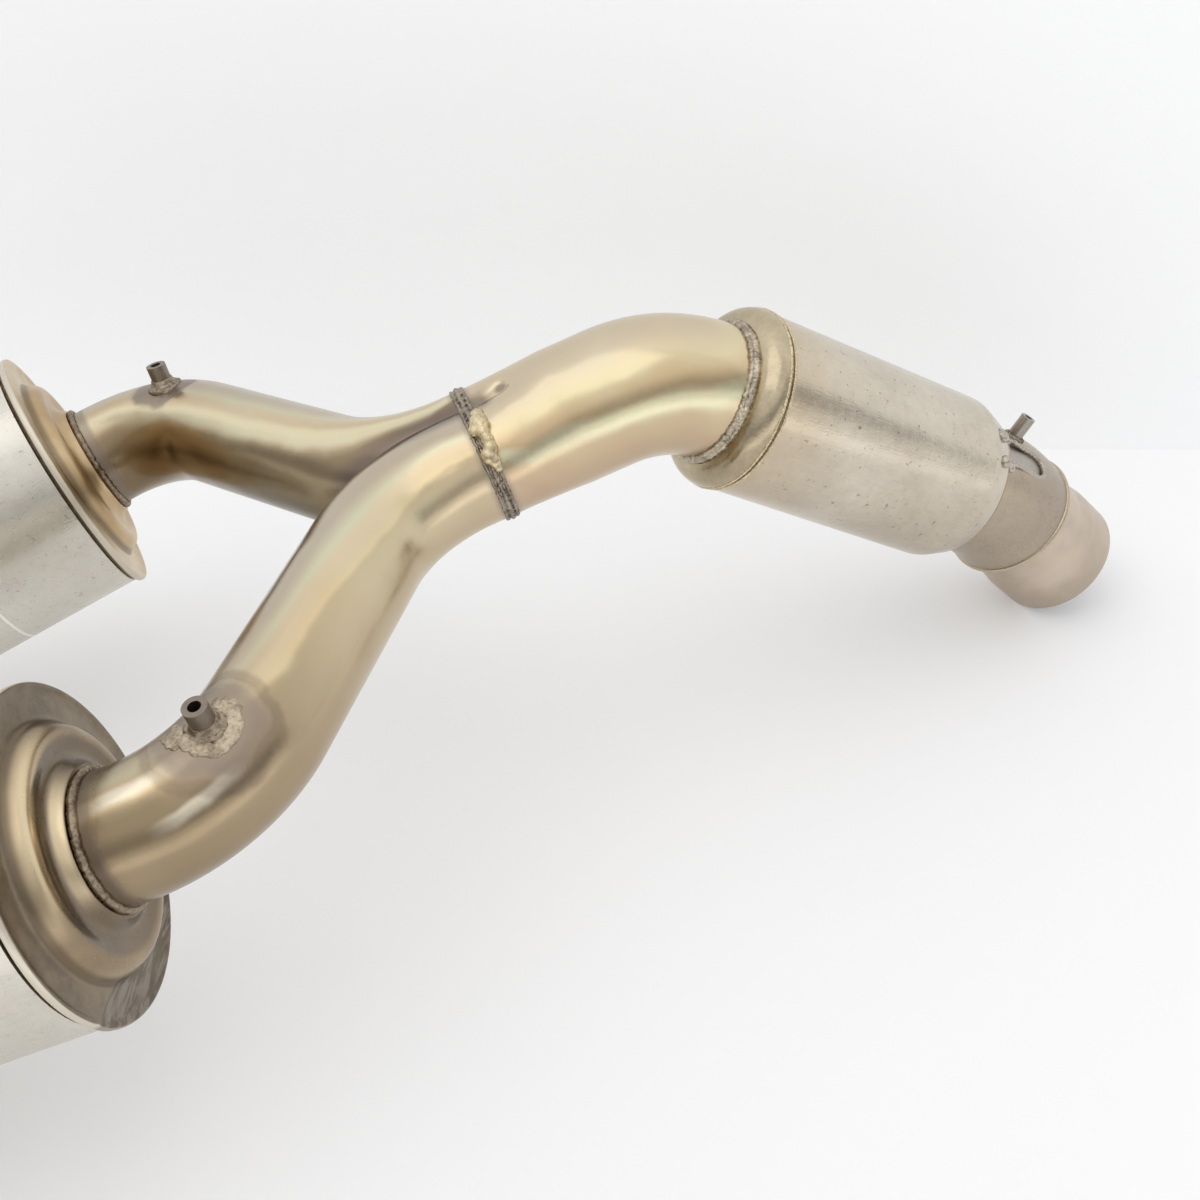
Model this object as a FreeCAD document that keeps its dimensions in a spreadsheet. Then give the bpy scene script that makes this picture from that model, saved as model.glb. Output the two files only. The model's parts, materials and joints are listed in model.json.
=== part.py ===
import FreeCAD, Part
import math
import os
import Sketcher
from FreeCAD import Placement, Rotation, Vector

# Twin-silencer exhaust: inlet tip, catalyst, main pipe, two-lobed collector, two bent branch
# pipes and two round cans, mirrored about the plane Y = 0. Sizes are millimetres and degrees.
# The build frame has its origin at the collector weld, X towards the inlet and Z up.

os.makedirs("parts", exist_ok=True)
doc = FreeCAD.newDocument("exhaust")

SIZES = {
    # tubes
    "main_od": 63.5,
    "branch_od": 50.8,
    "pipe_wall": 1.5,
    "fit_gap": 0.15,
    # collector and main pipe
    "collector_angle": 17.5,
    "lobe_offset": 8.5,
    "lobe_collar": 5.0,
    "blend_length": 34.0,
    "main_run": 20.5,
    "main_bend_radius": 66.0,
    "main_insert": 7.0,
    "seam_gap": 0.2,
    # branch pipes
    "junction_run": 9.2,
    "junction_bend_radius": 68.0,
    "neck_bend_radius": 58.0,
    "neck_run": 1.5,
    "neck_back": 168.7,
    "neck_side": 137.5,
    "neck_drop": 48.9,
    "neck_insert": 13.0,
    # cans
    "can_yaw": 8.7,
    "can_pitch": 18.3,
    "can_radius": 62.0,
    "can_wall": 1.2,
    "can_length": 300.0,
    "can_gap": 2.0,
    "lip_proud": 1.8,
    "lip_thickness": 3.0,
    "lip_width": 3.5,
    "lip_round": 1.2,
    "skirt_length": 14.0,
    "sheet": 2.0,
    "flange_rise": 1.0,
    "collar_height": 13.5,
    "collar_wall": 3.0,
    "collar_flare": 4.0,
    "valley_width": 4.0,
    "valley_height": 3.5,
    "dome_inner_run": 4.0,
    "dome_crest_width": 3.0,
    "dome_outer_run": 4.0,
    "dome_height": 8.0,
    "dome_round": 2.5,
    "foot_round": 2.0,
    "neck_weld_width": 5.0,
    "neck_weld_height": 2.6,
    "rear_dish": 6.0,
    "outlet_reach": 18.0,
    "core_gap": 0.5,
    "packing_gap": 0.3,
    # catalyst
    "catalyst_fall": 28.4,
    "catalyst_radius": 42.3,
    "catalyst_wall": 1.5,
    "catalyst_length": 145.5,
    "cap_wall": 1.7,
    "cap_depth": 11.5,
    "cap_round": 8.0,
    "cap_weld_width": 4.5,
    "cap_weld_height": 2.6,
    "shoulder_length": 14.0,
    "shoulder_step": 4.0,
    "shoulder_drop": 3.4,
    "shoulder_round": 12.0,
    "neck_lip": 5.0,
    "mat_thickness": 4.4,
    "substrate_length": 90.0,
    "substrate_start": 30.0,
    # inlet
    "sleeve_od": 68.0,
    "sleeve_wall": 2.0,
    "sleeve_leg": 12.5,
    "sleeve_bend_radius": 80.0,
    "sleeve_turn": 15.6,
    "liner_wall": 1.3,
    "liner_gap": 0.5,
    "tip_wall": 1.3,
    "tip_reach": 48.5,
    "tip_insert": 11.0,
    "liner_run": 1.0,
    "tip_flare": 1.35,
    "tip_flare_start": 18.0,
    "tip_flare_run": 10.0,
    "slot_length": 27.0,
    "slot_half_width": 7.0,
    "slot_turn": 28.0,
    # collector weld, nipples and post
    "collector_weld_width": 7.0,
    "collector_weld_height": 2.6,
    "nipple_od": 9.5,
    "nipple_bore": 5.0,
    "nipple_height": 11.0,
    "nipple_station": 20.5,
    "nipple_depth": 2.0,
    "pad_radius": 9.5,
    "pad_height": 2.4,
    "post_od": 7.6,
    "post_bore": 4.0,
    "post_height": 12.0,
    "post_station": 14.0,
    "post_turn": 4.0,
    "foot_step": 0.4,
}


class Size:
    """A sheet value with its number and the expression that gives it."""

    def __init__(self, value, text):
        self.value = value
        self.text = text

    def joined(self, other, sign, value):
        text = other.text if isinstance(other, Size) else repr(other)
        return Size(value, "(" + self.text + " " + sign + " " + text + ")")

    def __add__(self, other):
        return self.joined(other, "+", self.value + number(other))

    def __sub__(self, other):
        return self.joined(other, "-", self.value - number(other))

    def __mul__(self, other):
        return self.joined(other, "*", self.value * number(other))

    def __truediv__(self, other):
        return self.joined(other, "/", self.value / number(other))


def number(item):
    return item.value if isinstance(item, Size) else float(item)


sheet = doc.addObject("Spreadsheet::Sheet", "Sizes")
S = {}
for row, (name, value) in enumerate(SIZES.items(), start=1):
    sheet.set("A%d" % row, name)
    sheet.set("B%d" % row, str(value))
    sheet.setAlias("B%d" % row, name)
    S[name] = Size(value, "Sizes." + name)
doc.recompute()


def n(name):
    return S[name].value


def bind(target, prop, item):
    """Set a property or a named constraint from the sheet."""
    target.setExpression(prop, item.text)


def plane_of(body, role):
    for item in body.Origin.OriginFeatures:
        if item.Role == role:
            return item
    raise ValueError("no " + role)


def new_body(name):
    body = doc.addObject("PartDesign::Body", name)
    body.Label = name
    return body


def sketch_at(body, name, place):
    """A sketch on the body's XY plane, moved to a place in the body's frame."""
    sketch = body.newObject("Sketcher::SketchObject", name)
    sketch.AttachmentSupport = [(plane_of(body, "XY_Plane"), "")]
    sketch.MapMode = "FlatFace"
    sketch.AttachmentOffset = place
    return sketch


def fix(sketch, label, item, *constraint):
    """Add a dimension and tie it to the sheet."""
    index = sketch.addConstraint(Sketcher.Constraint(*constraint, item.value))
    sketch.renameConstraint(index, label)
    bind(sketch, "Constraints." + label, item)


def polygon(sketch, points):
    """A closed outline whose corners are each tied to two sheet expressions."""
    count = len(points)
    for i in range(count):
        a = points[i]
        b = points[(i + 1) % count]
        start = Vector(a[0].value, a[1].value, 0)
        end = Vector(b[0].value, b[1].value, 0)
        sketch.addGeometry(Part.LineSegment(start, end), False)
    for i in range(count):
        sketch.addConstraint(Sketcher.Constraint("Coincident", i, 2, (i + 1) % count, 1))
    for i in range(count):
        fix(sketch, "along%d" % i, points[i][0], "DistanceX", -1, 1, i, 1)
        fix(sketch, "radius%d" % i, points[i][1], "DistanceY", -1, 1, i, 1)


def ring_edges(shape, along, radius):
    """Names of the circular edges about the body's X axis at one station and radius."""
    names = []
    for i, edge in enumerate(shape.Edges, start=1):
        curve = edge.Curve
        if not isinstance(curve, Part.Circle):
            continue
        if abs(curve.Radius - radius) > 1e-4:
            continue
        if abs(curve.Center.x - along) < 1e-4:
            names.append("Edge%d" % i)
    return names


def revolved(name, points, rounds=()):
    """A body turned about its own X axis, with some corners of the outline rounded."""
    body = new_body(name)
    sketch = sketch_at(body, name + "_outline", Placement())
    polygon(sketch, points)
    turn = body.newObject("PartDesign::Revolution", name + "_turn")
    turn.Profile = sketch
    turn.ReferenceAxis = (sketch, ["H_Axis"])
    turn.Angle = 360
    sketch.Visibility = False
    doc.recompute()
    last = turn
    for k, (corners, size) in enumerate(rounds):
        names = []
        for i in corners:
            names += ring_edges(last.Shape, points[i][0].value, points[i][1].value)
        fillet = body.newObject("PartDesign::Fillet", "%s_round%d" % (name, k))
        fillet.Base = (last, names)
        bind(fillet, "Radius", size)
        doc.recompute()
        last = fillet
    return body


def frame_on(origin, x_dir, z_dir):
    """The placement whose X and Z follow two given directions."""
    return Placement(origin, Rotation(x_dir, Vector(), z_dir, "ZXY"))


def circles(sketch, outer, inner, offset=None):
    """Two concentric circles on the sketch's X axis, tied to the sheet."""
    shift = offset.value if offset else 0.0
    for i, od in enumerate((outer, inner)):
        sketch.addGeometry(Part.Circle(Vector(shift, 0, 0), Vector(0, 0, 1), od.value / 2), False)
        fix(sketch, "od%d" % i, od, "Diameter", i)
        if offset:
            sketch.addConstraint(Sketcher.Constraint("PointOnObject", i, 3, -1))
            fix(sketch, "offset%d" % i, offset, "DistanceX", -1, 1, i, 3)
        else:
            sketch.addConstraint(Sketcher.Constraint("Coincident", i, 3, -1, 1))


class Tube:
    """A round tube of straight runs and bends, laid end to end inside one body."""

    def __init__(self, body, origin, heading, od, bore):
        self.body = body
        self.here = origin
        self.heading = heading
        self.od = od
        self.bore = bore
        self.count = 0

    def name(self, kind):
        self.count += 1
        return "%s_%s%d" % (self.body.Label, kind, self.count)

    def straight(self, length):
        side = self.heading.cross(Vector(0.31, 0.52, 0.79)).normalize()
        sketch = sketch_at(self.body, self.name("section"), frame_on(self.here, side, self.heading))
        circles(sketch, self.od, self.bore)
        pad = self.body.newObject("PartDesign::Pad", self.name("run"))
        pad.Profile = sketch
        pad.Length = number(length)
        if isinstance(length, Size):
            bind(pad, "Length", length)
        sketch.Visibility = False
        doc.recompute()
        self.here = self.here + self.heading * number(length)

    def bend(self, radius, heading):
        turn = self.heading.getAngle(heading)
        axis = self.heading.cross(heading).normalize()
        inward = axis.cross(self.heading)
        centre = self.here + inward * radius.value
        place = frame_on(centre, inward * -1, self.heading * -1)
        sketch = sketch_at(self.body, self.name("section"), place)
        circles(sketch, self.od, self.bore, radius)
        bow = self.body.newObject("PartDesign::Revolution", self.name("bend"))
        bow.Profile = sketch
        bow.ReferenceAxis = (sketch, ["V_Axis"])
        bow.Angle = math.degrees(turn)
        sketch.Visibility = False
        doc.recompute()
        self.here = centre + Rotation(axis, math.degrees(turn)).multVec(inward * -radius.value)
        self.heading = heading


def in_plane(angle):
    """A direction in the mirror plane, at an angle above the X axis."""
    return Vector(math.cos(math.radians(angle)), 0, math.sin(math.radians(angle)))


def tangent_length(radius, a, b):
    return radius * math.tan(a.getAngle(b) / 2)


def mirrored(v):
    return Vector(v.x, -v.y, v.z)


# Where everything lies, in the build frame
collector = Vector(0, 0, 0)
out_dir = in_plane(n("collector_angle"))
cat_dir = in_plane(-n("catalyst_fall"))
tip_dir = in_plane(-n("catalyst_fall") - n("sleeve_turn"))
bend_start = collector + out_dir * (n("lobe_collar") + n("blend_length") + n("main_run"))
main_tangent = tangent_length(n("main_bend_radius"), out_dir, cat_dir)
cap_seat = bend_start + (out_dir + cat_dir) * main_tangent
cat_end = cap_seat + cat_dir * (n("cap_depth") + n("catalyst_length"))
sleeve_tangent = tangent_length(n("sleeve_bend_radius"), cat_dir, tip_dir)
sleeve_tail = n("liner_run") + n("liner_gap") + n("tip_insert")
sleeve_corner = cat_end + cat_dir * (n("sleeve_leg") + sleeve_tangent)
sleeve_end = sleeve_corner + tip_dir * (sleeve_tangent + sleeve_tail)
tip_end = sleeve_end + tip_dir * n("tip_reach")

# The neck of the can on the -Y side, its heading and the branch's two corners
yaw = math.radians(n("can_yaw"))
pitch = math.radians(n("can_pitch"))
can_dir = Vector(math.cos(yaw) * math.cos(pitch), -math.sin(yaw) * math.cos(pitch), math.sin(pitch))
neck = Vector(-n("neck_back"), -n("neck_side"), -n("neck_drop"))
lobe = Vector(0, -n("lobe_offset"), 0)
first_length = n("junction_bend_radius") / 2
second_length = n("neck_bend_radius") / 2
for step in range(60):
    first_corner = lobe - out_dir * (n("junction_run") + first_length)
    second_corner = neck + can_dir * (n("neck_run") + second_length)
    leg_dir = (second_corner - first_corner).normalize()
    first_length = tangent_length(n("junction_bend_radius"), out_dir * -1, leg_dir)
    second_length = tangent_length(n("neck_bend_radius"), leg_dir, can_dir * -1)
leg_run = (second_corner - first_corner).Length - first_length - second_length
# the cap's rim plane lies behind the neck by the height of the collar and its weld
rim_plane = neck - can_dir * (n("collar_height") + n("neck_weld_width"))
cap_back = rim_plane - can_dir * n("skirt_length")
can_back = rim_plane - can_dir * (2 * n("can_gap") + n("can_length"))
rear_lip = can_back - can_dir * n("lip_thickness")


def lowest(centre, normal, radius, angle):
    """Height of a ring's lowest point once the whole is turned about Y."""
    turn = Rotation(Vector(0, 1, 0), angle)
    level = turn.multVec(normal).z
    return turn.multVec(centre).z - radius * math.sqrt(max(0.0, 1 - level * level))


# The part rests on the inlet tip and on the rear lips of both cans
tip_radius = n("sleeve_od") / 2 - n("sleeve_wall") - n("fit_gap") + n("tip_flare")
low, high = -40.0, 40.0
for step in range(80):
    rest_angle = (low + high) / 2
    tip_low = lowest(tip_end, tip_dir, tip_radius, rest_angle)
    lip_low = lowest(rear_lip, can_dir, n("can_radius") + n("lip_proud"), rest_angle)
    if lip_low < tip_low:
        low = rest_angle
    else:
        high = rest_angle
rest = Placement(Vector(), Rotation(Vector(0, 1, 0), rest_angle))

built = []


def keep(item, place=None):
    """Set a finished piece down in the rest frame and list it for the files."""
    item.Placement = rest.multiply(place) if place else rest
    built.append(item)
    return item


def along_axis(origin, axis):
    """The place of a turned body whose X axis lies on a given axis."""
    side = Vector(0, 1, 0)
    up = axis.cross(side).normalize()
    return frame_on(origin, axis, up)


zero = S["sheet"] - S["sheet"]
main_radius = S["main_od"] / 2
branch_radius = S["branch_od"] / 2
main_bore = S["main_od"] - S["pipe_wall"] * 2
branch_bore = S["branch_od"] - S["pipe_wall"] * 2


def lobes(sketch, radius, offset, first=0):
    """Two equal arcs that meet on the sketch's Y axis, bulging towards both sides."""
    reach = math.sqrt(max(radius.value ** 2 - offset.value ** 2, 1e-9))
    spread = math.atan2(reach, -offset.value)
    right = Part.Circle(Vector(offset.value, 0, 0), Vector(0, 0, 1), radius.value)
    left = Part.Circle(Vector(-offset.value, 0, 0), Vector(0, 0, 1), radius.value)
    sketch.addGeometry(Part.ArcOfCircle(right, -spread, spread), False)
    sketch.addGeometry(Part.ArcOfCircle(left, math.pi - spread, math.pi + spread), False)
    for i, side in ((first, 1), (first + 1, -1)):
        sketch.addConstraint(Sketcher.Constraint("PointOnObject", i, 3, -1))
        fix(sketch, "lobe%d" % i, offset * side, "DistanceX", -1, 1, i, 3)
        fix(sketch, "round%d" % i, radius, "Radius", i)
    sketch.addConstraint(Sketcher.Constraint("Coincident", first, 2, first + 1, 1))
    sketch.addConstraint(Sketcher.Constraint("Coincident", first + 1, 2, first, 1))
    if offset is zero:
        sketch.addConstraint(Sketcher.Constraint("PointOnObject", first, 2, -2))
        sketch.addConstraint(Sketcher.Constraint("PointOnObject", first, 1, -2))


# Main pipe: a two-lobed collar, a blend to round, a straight run, the bend and the spigot
sideways = Vector(0, 1, 0)
main = new_body("main_pipe")
collar_sketch = sketch_at(main, "collar_section", frame_on(collector, sideways, out_dir))
lobes(collar_sketch, branch_radius, S["lobe_offset"])
lobes(collar_sketch, branch_radius - S["pipe_wall"], S["lobe_offset"], 2)
collar_pad = main.newObject("PartDesign::Pad", "collar_pad")
collar_pad.Profile = collar_sketch
bind(collar_pad, "Length", S["lobe_collar"])
doc.recompute()
blend_from = collector + out_dir * n("lobe_collar")
blend_to = blend_from + out_dir * n("blend_length")


def blend(kind, label, first_radius, last_radius):
    start = sketch_at(main, label + "_start", frame_on(blend_from, sideways, out_dir))
    lobes(start, first_radius, S["lobe_offset"])
    end = sketch_at(main, label + "_end", frame_on(blend_to, sideways, out_dir))
    lobes(end, last_radius, zero)
    loft = main.newObject(kind, label)
    loft.Profile = start
    loft.Sections = [end]
    doc.recompute()
    return loft


blend("PartDesign::AdditiveLoft", "blend_outside", branch_radius, main_radius)
blend("PartDesign::SubtractiveLoft", "blend_bore", branch_radius - S["pipe_wall"], main_bore / 2)
tube = Tube(main, blend_to, out_dir, S["main_od"], main_bore)
tube.straight(S["main_run"])
tube.bend(S["main_bend_radius"], cat_dir)
tube.straight(S["main_insert"])
keep(main)


def radial(turn, axis):
    """A direction square to an axis in the mirror plane, turned from the top towards -Y."""
    top = Vector(-axis.z, 0, axis.x)
    angle = math.radians(turn)
    return top * math.cos(angle) - Vector(0, 1, 0) * math.sin(angle)


def pocket(body, name, sketch, depth):
    """Cut a closed outline down from its sketch, against the sketch's normal."""
    cut = body.newObject("PartDesign::Pocket", name)
    cut.Profile = sketch
    bind(cut, "Length", depth)
    sketch.Visibility = False
    doc.recompute()


def bore_out(body, name, origin, axis, radius, depth):
    """Cut a round hole through the wall on one side of a point."""
    side = axis.cross(Vector(0.31, 0.52, 0.79)).normalize()
    sketch = sketch_at(body, name + "_circle", frame_on(origin + axis * depth.value, side, axis))
    sketch.addGeometry(Part.Circle(Vector(), Vector(0, 0, 1), radius.value), False)
    sketch.addConstraint(Sketcher.Constraint("Coincident", 0, 3, -1, 1))
    fix(sketch, "bore", radius, "Radius", 0)
    pocket(body, name, sketch, depth)


# Where the nipple stands on the branch's second bend
bow_axis = leg_dir.cross(can_dir * -1).normalize()
bow_in = bow_axis.cross(leg_dir)
bow_out = bow_in * -1
bow_centre = second_corner - leg_dir * second_length + bow_in * n("neck_bend_radius")
bow_turn = Rotation(bow_axis, n("nipple_station"))
nipple_centre = bow_centre + bow_turn.multVec(bow_out) * n("neck_bend_radius")
nipple_heading = bow_turn.multVec(leg_dir)
nipple_axis = Vector(0, 0, 1) - nipple_heading * nipple_heading.z
nipple_axis.normalize()
nipple_radius = S["nipple_od"] / 2
nipple_foot = nipple_radius - S["foot_step"]


def branch(side, flip):
    """One branch pipe, cut flat where it meets its twin on the mirror plane."""
    def turned(v):
        return mirrored(v) if flip else v

    body = new_body(side + "_branch_pipe")
    pipe = Tube(body, turned(lobe), out_dir * -1, S["branch_od"], branch_bore)
    pipe.straight(S["junction_run"])
    pipe.bend(S["junction_bend_radius"], turned(leg_dir))
    pipe.straight(leg_run)
    pipe.bend(S["neck_bend_radius"], turned(can_dir * -1))
    pipe.straight(S["neck_run"] + S["neck_insert"])
    # the twin's side of the seam is cut away along the whole junction
    seam_corner = Vector(-n("neck_back"), 0, n("neck_back"))
    seam = sketch_at(body, side + "_seam", Placement(seam_corner, Rotation()))
    near = S["seam_gap"] * (0.5 if flip else -0.5)
    far = near + S["branch_od"] * (-1 if flip else 1)
    reach = S["neck_back"] + S["branch_od"]
    polygon(seam, [(S["branch_od"], near), (reach, near), (reach, far), (S["branch_od"], far)])
    pocket(body, side + "_seam_cut", seam, S["neck_back"] * 2)
    hole = nipple_foot + S["fit_gap"]
    bore_out(body, side + "_nipple_hole", turned(nipple_centre), turned(nipple_axis), hole, S["branch_od"])
    keep(body)
    return pipe


branch("right", False)
branch("left", True)

# Weld around the two-lobed joint
weld = new_body("collector_weld")
half_weld = n("collector_weld_width") / 2
weld_sketch = sketch_at(weld, "weld_section", frame_on(out_dir * -half_weld, sideways, out_dir))
lobes(weld_sketch, branch_radius + S["collector_weld_height"], S["lobe_offset"])
lobes(weld_sketch, branch_radius + S["fit_gap"], S["lobe_offset"], 2)
weld_pad = weld.newObject("PartDesign::Pad", "weld_pad")
weld_pad.Profile = weld_sketch
bind(weld_pad, "Length", S["collector_weld_width"])
doc.recompute()
keep(weld)

# Silencer cans: each turned about its own axis, X from the can towards the pipe
face = S["skirt_length"]
skirt = S["can_radius"] - S["can_wall"] - S["fit_gap"]
collar_bore = branch_radius + S["fit_gap"]
collar_outer = collar_bore + S["collar_wall"]
lip_radius = S["can_radius"] + S["lip_proud"]
valley_inner = collar_outer + S["collar_flare"]
valley_outer = valley_inner + S["valley_width"]
crest_inner = valley_outer + S["dome_inner_run"]
crest_outer = crest_inner + S["dome_crest_width"]
dome_base = crest_outer + S["dome_outer_run"]
foot = face + S["flange_rise"] + S["sheet"]
crest = foot + S["dome_height"]
valley = foot + S["valley_height"]
front_cap_outline = [
    (zero, skirt),
    (face, skirt),
    (face, lip_radius),
    (face + S["lip_thickness"], lip_radius),
    (face + S["lip_thickness"], lip_radius - S["lip_width"]),
    (foot, dome_base),
    (crest, crest_outer),
    (crest, crest_inner),
    (valley, valley_outer),
    (valley, valley_inner),
    (valley + S["sheet"], collar_outer),
    (face + S["collar_height"], collar_outer),
    (face + S["collar_height"], collar_bore),
    (valley - S["sheet"], collar_bore),
    (valley - S["sheet"], valley_outer + S["sheet"]),
    (crest - S["sheet"], crest_inner + S["sheet"] / 2),
    (crest - S["sheet"], crest_outer - S["sheet"] / 2),
    (foot - S["sheet"], dome_base - S["sheet"]),
    (face, skirt - S["sheet"]),
    (zero, skirt - S["sheet"]),
]
front_cap_rounds = [
    ((2, 3), S["lip_round"]),
    ((6, 7), S["dome_round"]),
    ((5, 8), S["foot_round"]),
]
rear_cap_outline = [
    (zero, skirt),
    (face, skirt),
    (face, lip_radius),
    (face + S["lip_thickness"], lip_radius),
    (face + S["lip_thickness"], lip_radius - S["lip_width"]),
    (face - S["rear_dish"], dome_base),
    (face - S["rear_dish"], collar_outer),
    (face, collar_outer),
    (face, collar_bore),
    (face - S["rear_dish"] - S["sheet"], collar_bore),
    (face - S["rear_dish"] - S["sheet"], dome_base + S["sheet"]),
    (face - S["sheet"], skirt - S["sheet"]),
    (zero, skirt - S["sheet"]),
]
weld_foot = S["neck_weld_height"] * 0.35
neck_weld_outline = [
    (zero, collar_bore),
    (zero, collar_bore + S["neck_weld_height"]),
    (S["neck_weld_width"] * 0.55, collar_bore + S["neck_weld_height"]),
    (S["neck_weld_width"], collar_bore + weld_foot),
    (S["neck_weld_width"], collar_bore),
]


def tube_outline(length, outer, inner):
    return [(zero, outer), (length, outer), (length, inner), (zero, inner)]


core_length = S["can_length"] + S["can_gap"] * 2 + S["outlet_reach"] + S["collar_height"]
core_length = core_length + S["neck_weld_width"] - S["neck_insert"] - S["core_gap"]
packing_length = S["can_length"] + S["can_gap"] * 2 - S["skirt_length"] * 2 - S["packing_gap"] * 2
can_inside = S["can_radius"] - S["can_wall"]


def can(side, flip):
    """The pieces of one silencer can, from its front cap to its outlet."""
    def put(body, along, back=False):
        origin = rim_plane + can_dir * along
        axis = can_dir * (-1 if back else 1)
        if flip:
            origin = mirrored(origin)
            axis = mirrored(axis)
        keep(body, along_axis(origin, axis))

    span = n("can_length") + 2 * n("can_gap")
    put(revolved(side + "_front_cap", front_cap_outline, front_cap_rounds), -n("skirt_length"))
    shell = tube_outline(S["can_length"], S["can_radius"], can_inside)
    put(revolved(side + "_can_shell", shell), -n("can_gap") - n("can_length"))
    rear = revolved(side + "_rear_cap", rear_cap_outline, [((2, 3), S["lip_round"])])
    put(rear, n("skirt_length") - span, True)
    core = tube_outline(core_length, branch_radius, branch_bore / 2)
    put(revolved(side + "_core_tube", core), -span - n("outlet_reach"))
    packing = tube_outline(packing_length, can_inside - S["packing_gap"], branch_radius + S["packing_gap"])
    put(revolved(side + "_packing", packing), n("skirt_length") + n("packing_gap") - span)
    put(revolved(side + "_neck_weld", neck_weld_outline), n("collar_height"))


can("right", False)
can("left", True)

# Catalyst: turned about its own axis, X from the main pipe towards the inlet
cap_bore = main_radius + S["fit_gap"]
cap_inside = S["catalyst_radius"] + S["fit_gap"]
cap_radius = cap_inside + S["cap_wall"]
cap_outline = [
    (zero, cap_bore),
    (zero, cap_radius),
    (S["cap_depth"], cap_radius),
    (S["cap_depth"], cap_inside),
    (S["cap_wall"], cap_inside),
    (S["cap_wall"], cap_bore),
]
cap_rounds = [((1,), S["cap_round"]), ((4,), S["cap_round"] - S["cap_wall"])]
keep(revolved("catalyst_end_cap", cap_outline, cap_rounds), along_axis(cap_seat, cat_dir))

# the ring stands clear of the last of the bend beneath it
ring_bore = main_radius + S["fit_gap"] * 2
cap_weld_outline = [
    (zero, ring_bore),
    (zero, ring_bore + S["cap_weld_height"] * 0.35),
    (S["cap_weld_width"] * 0.45, ring_bore + S["cap_weld_height"]),
    (S["cap_weld_width"], ring_bore + S["cap_weld_height"]),
    (S["cap_weld_width"], ring_bore),
]
weld_seat = cap_seat - cat_dir * n("cap_weld_width")
keep(revolved("catalyst_weld", cap_weld_outline), along_axis(weld_seat, cat_dir))

sleeve_radius = S["sleeve_od"] / 2
# the shell's edge stops where the cap's inner rounding begins
cap_overlap = S["cap_depth"] - S["cap_round"] - S["fit_gap"]
shell_length = cap_overlap + S["catalyst_length"]
neck_bore = sleeve_radius + S["fit_gap"]
shell_inside = S["catalyst_radius"] - S["catalyst_wall"]
neck_outer = neck_bore + S["catalyst_wall"]
shoulder = shell_length - S["shoulder_length"]
step = shell_length - S["shoulder_step"]
shell_outline = [
    (zero, S["catalyst_radius"]),
    (shoulder, S["catalyst_radius"]),
    (step, S["catalyst_radius"] - S["shoulder_drop"]),
    (shell_length, neck_outer),
    (shell_length, neck_bore),
    (step - S["catalyst_wall"], neck_bore),
    (step - S["catalyst_wall"], shell_inside - S["shoulder_drop"]),
    (shoulder, shell_inside),
    (zero, shell_inside),
]
shell_rounds = [((1, 7), S["shoulder_round"])]
shell_seat = cap_seat + cat_dir * (n("cap_depth") - cap_overlap.value)
keep(revolved("catalyst_shell", shell_outline, shell_rounds), along_axis(shell_seat, cat_dir))

mat_inside = shell_inside - S["fit_gap"] - S["mat_thickness"]
brick_radius = mat_inside - S["fit_gap"]
brick_seat = cap_seat + cat_dir * n("substrate_start")
brick_outline = [
    (zero, zero),
    (zero, brick_radius),
    (S["substrate_length"], brick_radius),
    (S["substrate_length"], zero),
]
keep(revolved("catalyst_substrate", brick_outline), along_axis(brick_seat, cat_dir))
mat_outline = tube_outline(S["substrate_length"], shell_inside - S["fit_gap"], mat_inside)
keep(revolved("substrate_mat", mat_outline), along_axis(brick_seat, cat_dir))

# Inlet sleeve, bent a little and slotted at its root, with a liner and the flared tip inside it
sleeve_bore = S["sleeve_od"] - S["sleeve_wall"] * 2
inner_od = sleeve_bore - S["fit_gap"] * 2
sleeve_start = cat_end - cat_dir * n("neck_lip")
post_radius = S["post_od"] / 2
post_spigot = post_radius - S["foot_step"]
post_axis = radial(n("post_turn"), cat_dir)
post_foot = cat_end + cat_dir * n("post_station")
sleeve = new_body("inlet_sleeve")
bow = Tube(sleeve, sleeve_start, cat_dir, S["sleeve_od"], sleeve_bore)
bow.straight(S["neck_lip"] + S["sleeve_leg"])
bow.bend(S["sleeve_bend_radius"], tip_dir)
bow.straight(S["liner_run"] + S["liner_gap"] + S["tip_insert"])
bore_out(sleeve, "post_hole", post_foot, post_axis, post_spigot + S["fit_gap"], S["sleeve_od"])
slot_dir = in_plane(-n("catalyst_fall") - n("sleeve_turn") / 2)
slot_up = radial(n("slot_turn"), slot_dir)
slot_reach = S["slot_length"] - S["slot_half_width"]
slot_end = cat_end + slot_dir * slot_reach.value
bore_out(sleeve, "slot_end", slot_end, slot_up, S["slot_half_width"], S["sleeve_od"])
slot_place = frame_on(cat_end, slot_dir, slot_up)
slot_corner = Vector(0, -n("slot_half_width"), n("sleeve_od"))
slot_place.Base = cat_end + slot_place.Rotation.multVec(slot_corner)
slot_sketch = sketch_at(sleeve, "slot_outline", slot_place)
slot_width = S["slot_half_width"] * 2
polygon(slot_sketch, [(zero, zero), (slot_reach, zero), (slot_reach, slot_width), (zero, slot_width)])
pocket(sleeve, "slot", slot_sketch, S["sleeve_od"])
keep(sleeve)

liner = new_body("inlet_liner")
bow = Tube(liner, sleeve_start, cat_dir, inner_od, inner_od - S["liner_wall"] * 2)
bow.straight(S["neck_lip"] + S["sleeve_leg"])
bow.bend(S["sleeve_bend_radius"], tip_dir)
bow.straight(S["liner_run"])
bore_out(liner, "post_hole_inside", post_foot, post_axis, post_spigot + S["fit_gap"], S["sleeve_od"])
keep(liner)

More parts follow.
